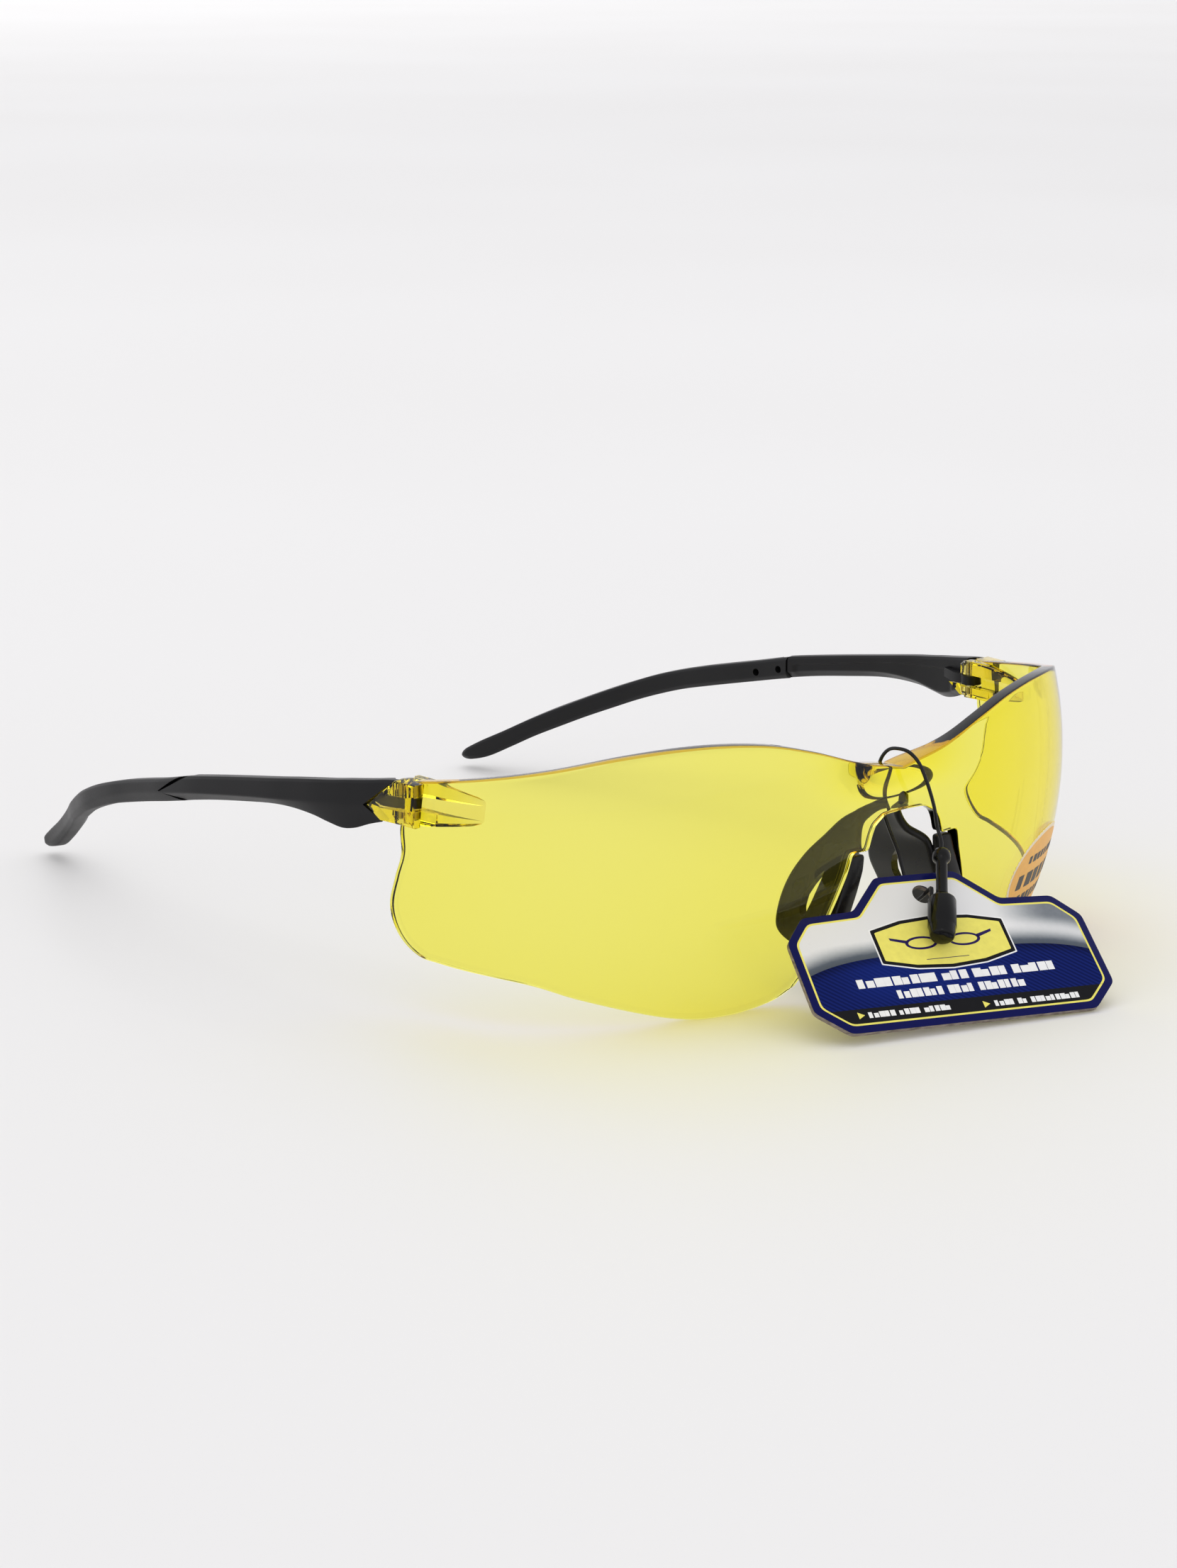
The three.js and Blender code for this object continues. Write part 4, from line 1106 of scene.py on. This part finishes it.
def boardEdge():
    # Grey-brown layered board, seen along its cut edge.
    f = Finish("grey card board")
    fibre = f.noise(700.0, 4.0, (1.0, 1.0, 3.0))
    colour = f.ramp(fibre, [(0.3, (0.13, 0.105, 0.085)), (0.7, (0.34, 0.29, 0.25))])
    return f.close(f.surface({"Base Color": colour, "Roughness": 0.8, "Normal": f.bump(fibre, 0.5, 0.00008)}))


# Each row of blocks: sizes of its groups, where it starts and ends, its foot and top, and the
# gaps between blocks and between groups.
printRows = [([9, 3, 4, 5], -18, 18, 7.9, 9.55, 0.2, 0.8), ([7, 4, 7], -11.8, 11.2, 5.4, 6.95, 0.2, 0.8),
             ([5, 4, 5], -18.2, -3.5, 2.45, 3.5, 0.16, 0.6), ([4, 2, 10], 4.3, 20, 2.2, 3.25, 0.16, 0.6)]


def wordRow(words, fromA, toA, low, high, gap, space):
    # Plain upright blocks in groups, standing in for a line of small print.
    count = sum(words)
    fill = (toA - fromA - space * (len(words) - 1)) / count
    blocks, at, index = [], fromA, 0
    for size in words:
        for _ in range(size):
            width = fill * (0.86 + 0.28 * ((index * 7) % 5) / 4) - gap
            top = high - 0.22 * (high - low) * ((index * 5) % 4 == 1)
            blocks.append(inkShell(rectangle(at, low, at + width, top), card["words"]))
            at += fill
            index += 1
        at += space
    return blocks


def glassesMark():
    # A plain pictogram of a pair of glasses for the badge: its ink, and the eyes laid over it.
    high, height, apart = card["mark"], 15.25, 3.9
    bridge = np.array([(-1.3, 15.3), (1.3, 15.3), (1.0, 15.85), (-1.0, 15.85)])
    leg = np.array([(6.4, 15.3), (9.2, 16.2), (9.3, 16.7), (6.3, 15.9)])
    ink, eyes = [], []
    for side in (-1, 1):
        middle = np.array([side * apart, height])
        turnedLeg = leg[::-1] if side > 0 else leg * np.array([-1.0, 1.0])
        ink.append(inkShell(circle(0, 0, 1.0, 40) * np.array([2.9, 1.25]) + middle, high))
        ink.append(inkShell(turnedLeg, high))
        eyes.append(inkShell(circle(0, 0, 1.0, 40) * np.array([2.35, 0.85]) + middle, card["eyes"]))
    thin = inkShell(rectangle(-4.2, 12.0, 3.5, 12.12), 0.684)
    return [*ink, inkShell(bridge, high), thin], eyes


def badgeAt(shrink):
    # The badge's outline moved in by shrink.
    return softLoop(inset(np.array(card["badge"]), shrink), 0.12, 0.12)


def arrowHead(across, up):
    # A small triangle that points to the right.
    return inkShell(np.array([(across, up - 0.62), (across + 1.15, up), (across, up + 0.62)]), card["words"])


def makeCard():
    # The board, the printed sheet and each ink as a thin layer a little above the last.
    yellow = printInk("yellow print", (0.92, 0.83, 0.17))
    navy = printInk("navy print", (0.004, 0.006, 0.085), 0.24)
    white = printInk("white print", (0.95, 0.95, 0.96))
    black = printInk("black print", (0.008, 0.008, 0.01))
    violet = printInk("dark violet print", (0.022, 0.012, 0.10))
    mark, eyes = glassesMark()
    panel = cardOutline(card["panel"])
    strip = panelBelow(lambda across: np.full_like(across, card["strip"]))
    rows = [block for row in printRows for block in wordRow(*row)]
    layers = (("card_board", [cardShell(cardOutline(0.05), *card["board"], 0.05)], boardEdge(), True),
              ("card_print_sheet", [cardShell(cardOutline(), *card["sheet"], 0.1)], navy, True),
              ("card_yellow_line", [inkShell(cardOutline(card["line"]), 0.642)], yellow, True),
              ("card_silver_panel", [inkShell(panel, card["silver"])], silverPrint(), True),
              ("card_blue_panel", [inkShell(panelBelow(swoosh), card["blue"])], twillPrint(), False),
              ("card_black_strip", [inkShell(strip, card["black"])], black, False),
              ("card_badge_halo", [inkShell(badgeAt(card["halo"]), 0.667)], white, False),
              ("card_badge_rim", [inkShell(badgeAt(card["rim"]), 0.673)], black, False),
              ("card_badge", [inkShell(badgeAt(card["face"]), 0.679)], yellow, False),
              ("card_badge_mark", mark, violet, False),
              ("card_badge_mark_eyes", eyes, yellow, False),
              ("card_yellow_arrows", [arrowHead(-20.0, 3.05), arrowHead(2.3, 2.75)], yellow, False),
              ("card_white_rows", rows, white, False))
    return [cardPiece(*layer) for layer in layers]


cardPieces = makeCard()
print("hang tag made")


# The sticker's place and half sizes in the lens outline's terms, and for each layer how far its
# under and upper sides lie off the lens; bars are (foot, top, half length, count).
seal = {"along": 45.5, "z": 10.3, "halfAlong": 13.6, "halfZ": 8.0, "teeth": 68, "tooth": 0.022,
        "border": 0.85, "paper": (0.02, 0.1), "face": (0.06, 0.13), "ink": (0.08, 0.155), "slant": 0.25,
        "bars": [(12.9, 14.2, 7.4, 8), (8.6, 11.2, 10.2, 6), (5.6, 7.3, 8.4, 8)]}


def lensPatch(outline, low, high, rings):
    # A thin plate that follows the lens front, drawn out from the middle of its outline.
    middle = outline.mean(axis=0)
    share = np.linspace(0, 1, rings)[:, None, None]
    spot = middle + share * (outline - middle)
    top = lensPoint(spot[..., 0], spot[..., 1], np.full(spot.shape[:2], -high))
    under = lensPoint(spot[..., 0], spot[..., 1], np.full(spot.shape[:2], -low))
    shell = np.concatenate([top, under[::-1]])
    return shell.reshape(-1, 3), gridQuads(*shell.shape[:2], wrap=True).tolist()


def sealOutline(shrink, toothed=False):
    # An oval, moved in by shrink, with a fine saw edge if toothed.
    angle = np.linspace(0, 2 * np.pi, seal["teeth"] * 6, endpoint=False)
    saw = np.abs((angle * seal["teeth"] / (2 * np.pi)) % 1 - 0.5) * 2
    size = 1 - seal["tooth"] * saw if toothed else 1 + 0 * saw
    return np.stack([seal["along"] + (seal["halfAlong"] - shrink) * size * np.cos(angle),
                     seal["z"] + (seal["halfZ"] - shrink) * size * np.sin(angle)], -1)


def sealBars():
    # Rows of plain slanted blocks, shorter towards the top and foot of the oval.
    bars = []
    for low, high, reach, count in seal["bars"]:
        width = 2 * reach / count
        for index in range(count):
            start = seal["along"] - reach + width * index
            end = start + width * (0.62 + 0.2 * ((index * 3) % 4) / 3)
            corners = np.array([(start, low), (end, low), (end + seal["slant"], high),
                                (start + seal["slant"], high)])
            bars.append(lensPatch(softLoop(corners, 0.1, 0.15), *seal["ink"], 4))
    return bars


def makeSeal():
    # Cream paper with a serrated border, an orange face and grey bars.
    rings = 16
    for name, shells, material in (
            ("sticker_base", [lensPatch(sealOutline(0, True), *seal["paper"], rings)],
             printInk("cream sticker paper", (0.92, 0.80, 0.60), 0.45)),
            ("sticker_face", [lensPatch(sealOutline(seal["border"]), *seal["face"], rings)],
             printInk("orange sticker print", (0.95, 0.52, 0.16), 0.42)),
            ("sticker_bars", sealBars(), printInk("grey sticker print", (0.10, 0.10, 0.105), 0.45))):
        finishPiece(makeObject(name, joined(*shells)), material, "front", ("lens_sticker",), 40)


makeSeal()
print("sticker made")


studio = {"floor": 40, "horizon": (0.91, 0.90, 0.92), "zenith": (0.71, 0.71, 0.73)}


def makeFloor():
    # A wide pale floor with a faint cloudy tone.
    f = Finish("pale floor")
    tone = f.blend(f.noise(3.0, 1.0), (0.82, 0.81, 0.80), (0.86, 0.855, 0.85))
    bpy.ops.mesh.primitive_plane_add(size=studio["floor"], location=(0, 0, 0))
    floor = bpy.context.object
    floor.name = "floor"
    floor.data.materials.append(f.close(f.surface({"Base Color": tone, "Roughness": 0.6,
                                                   "Specular IOR Level": 0.2})))


def areaLight(name, place, target, size, power, glossy):
    # A rectangular lamp that looks from its place to its target; glossy ones show in reflections.
    light = bpy.data.lights.new(name, "AREA")
    light.shape = "RECTANGLE"
    light.size, light.size_y = size
    light.energy = power
    lamp = bpy.data.objects.new(name, light)
    bpy.context.scene.collection.objects.link(lamp)
    lamp.location = place
    lamp.rotation_euler = (Vector(target) - Vector(place)).to_track_quat("-Z", "Y").to_euler()
    lamp.visible_glossy = glossy


def makeWorld():
    # A studio that is bright round the horizon and dimmer overhead.
    world = bpy.data.worlds.new("studio")
    bpy.context.scene.world = world
    world.use_nodes = True
    nodes, links = world.node_tree.nodes, world.node_tree.links
    place = nodes.new("ShaderNodeTexCoord")
    height = nodes.new("ShaderNodeSeparateXYZ")
    tone = nodes.new("ShaderNodeValToRGB")
    links.new(place.outputs["Generated"], height.inputs[0])
    links.new(height.outputs["Z"], tone.inputs[0])
    links.new(tone.outputs[0], nodes["Background"].inputs["Color"])
    for element, shade, position in zip(tone.color_ramp.elements, ("horizon", "zenith"), (0.1, 0.75)):
        element.color = (*studio[shade], 1.0)
        element.position = position


makeFloor()
makeWorld()
areaLight("overhead", (0.0, 0.3, 1.5), (0, 0, 0), (2.0, 2.0), 7.0, False)
areaLight("far", (2.2, 4.6, 3.0), (2.2, 3.2, 0), (4.0, 4.0), 75.0, False)
areaLight("window", (-0.9, -0.8, 0.55), (0, -0.02, 0.02), (0.35, 0.25), 0.5, True)
bpy.context.scene.view_settings.view_transform = "Standard"
bpy.context.scene.cycles.max_bounces = 24
bpy.context.scene.cycles.transmission_bounces = 24
bpy.context.scene.cycles.transparent_max_bounces = 16
print("stage set")
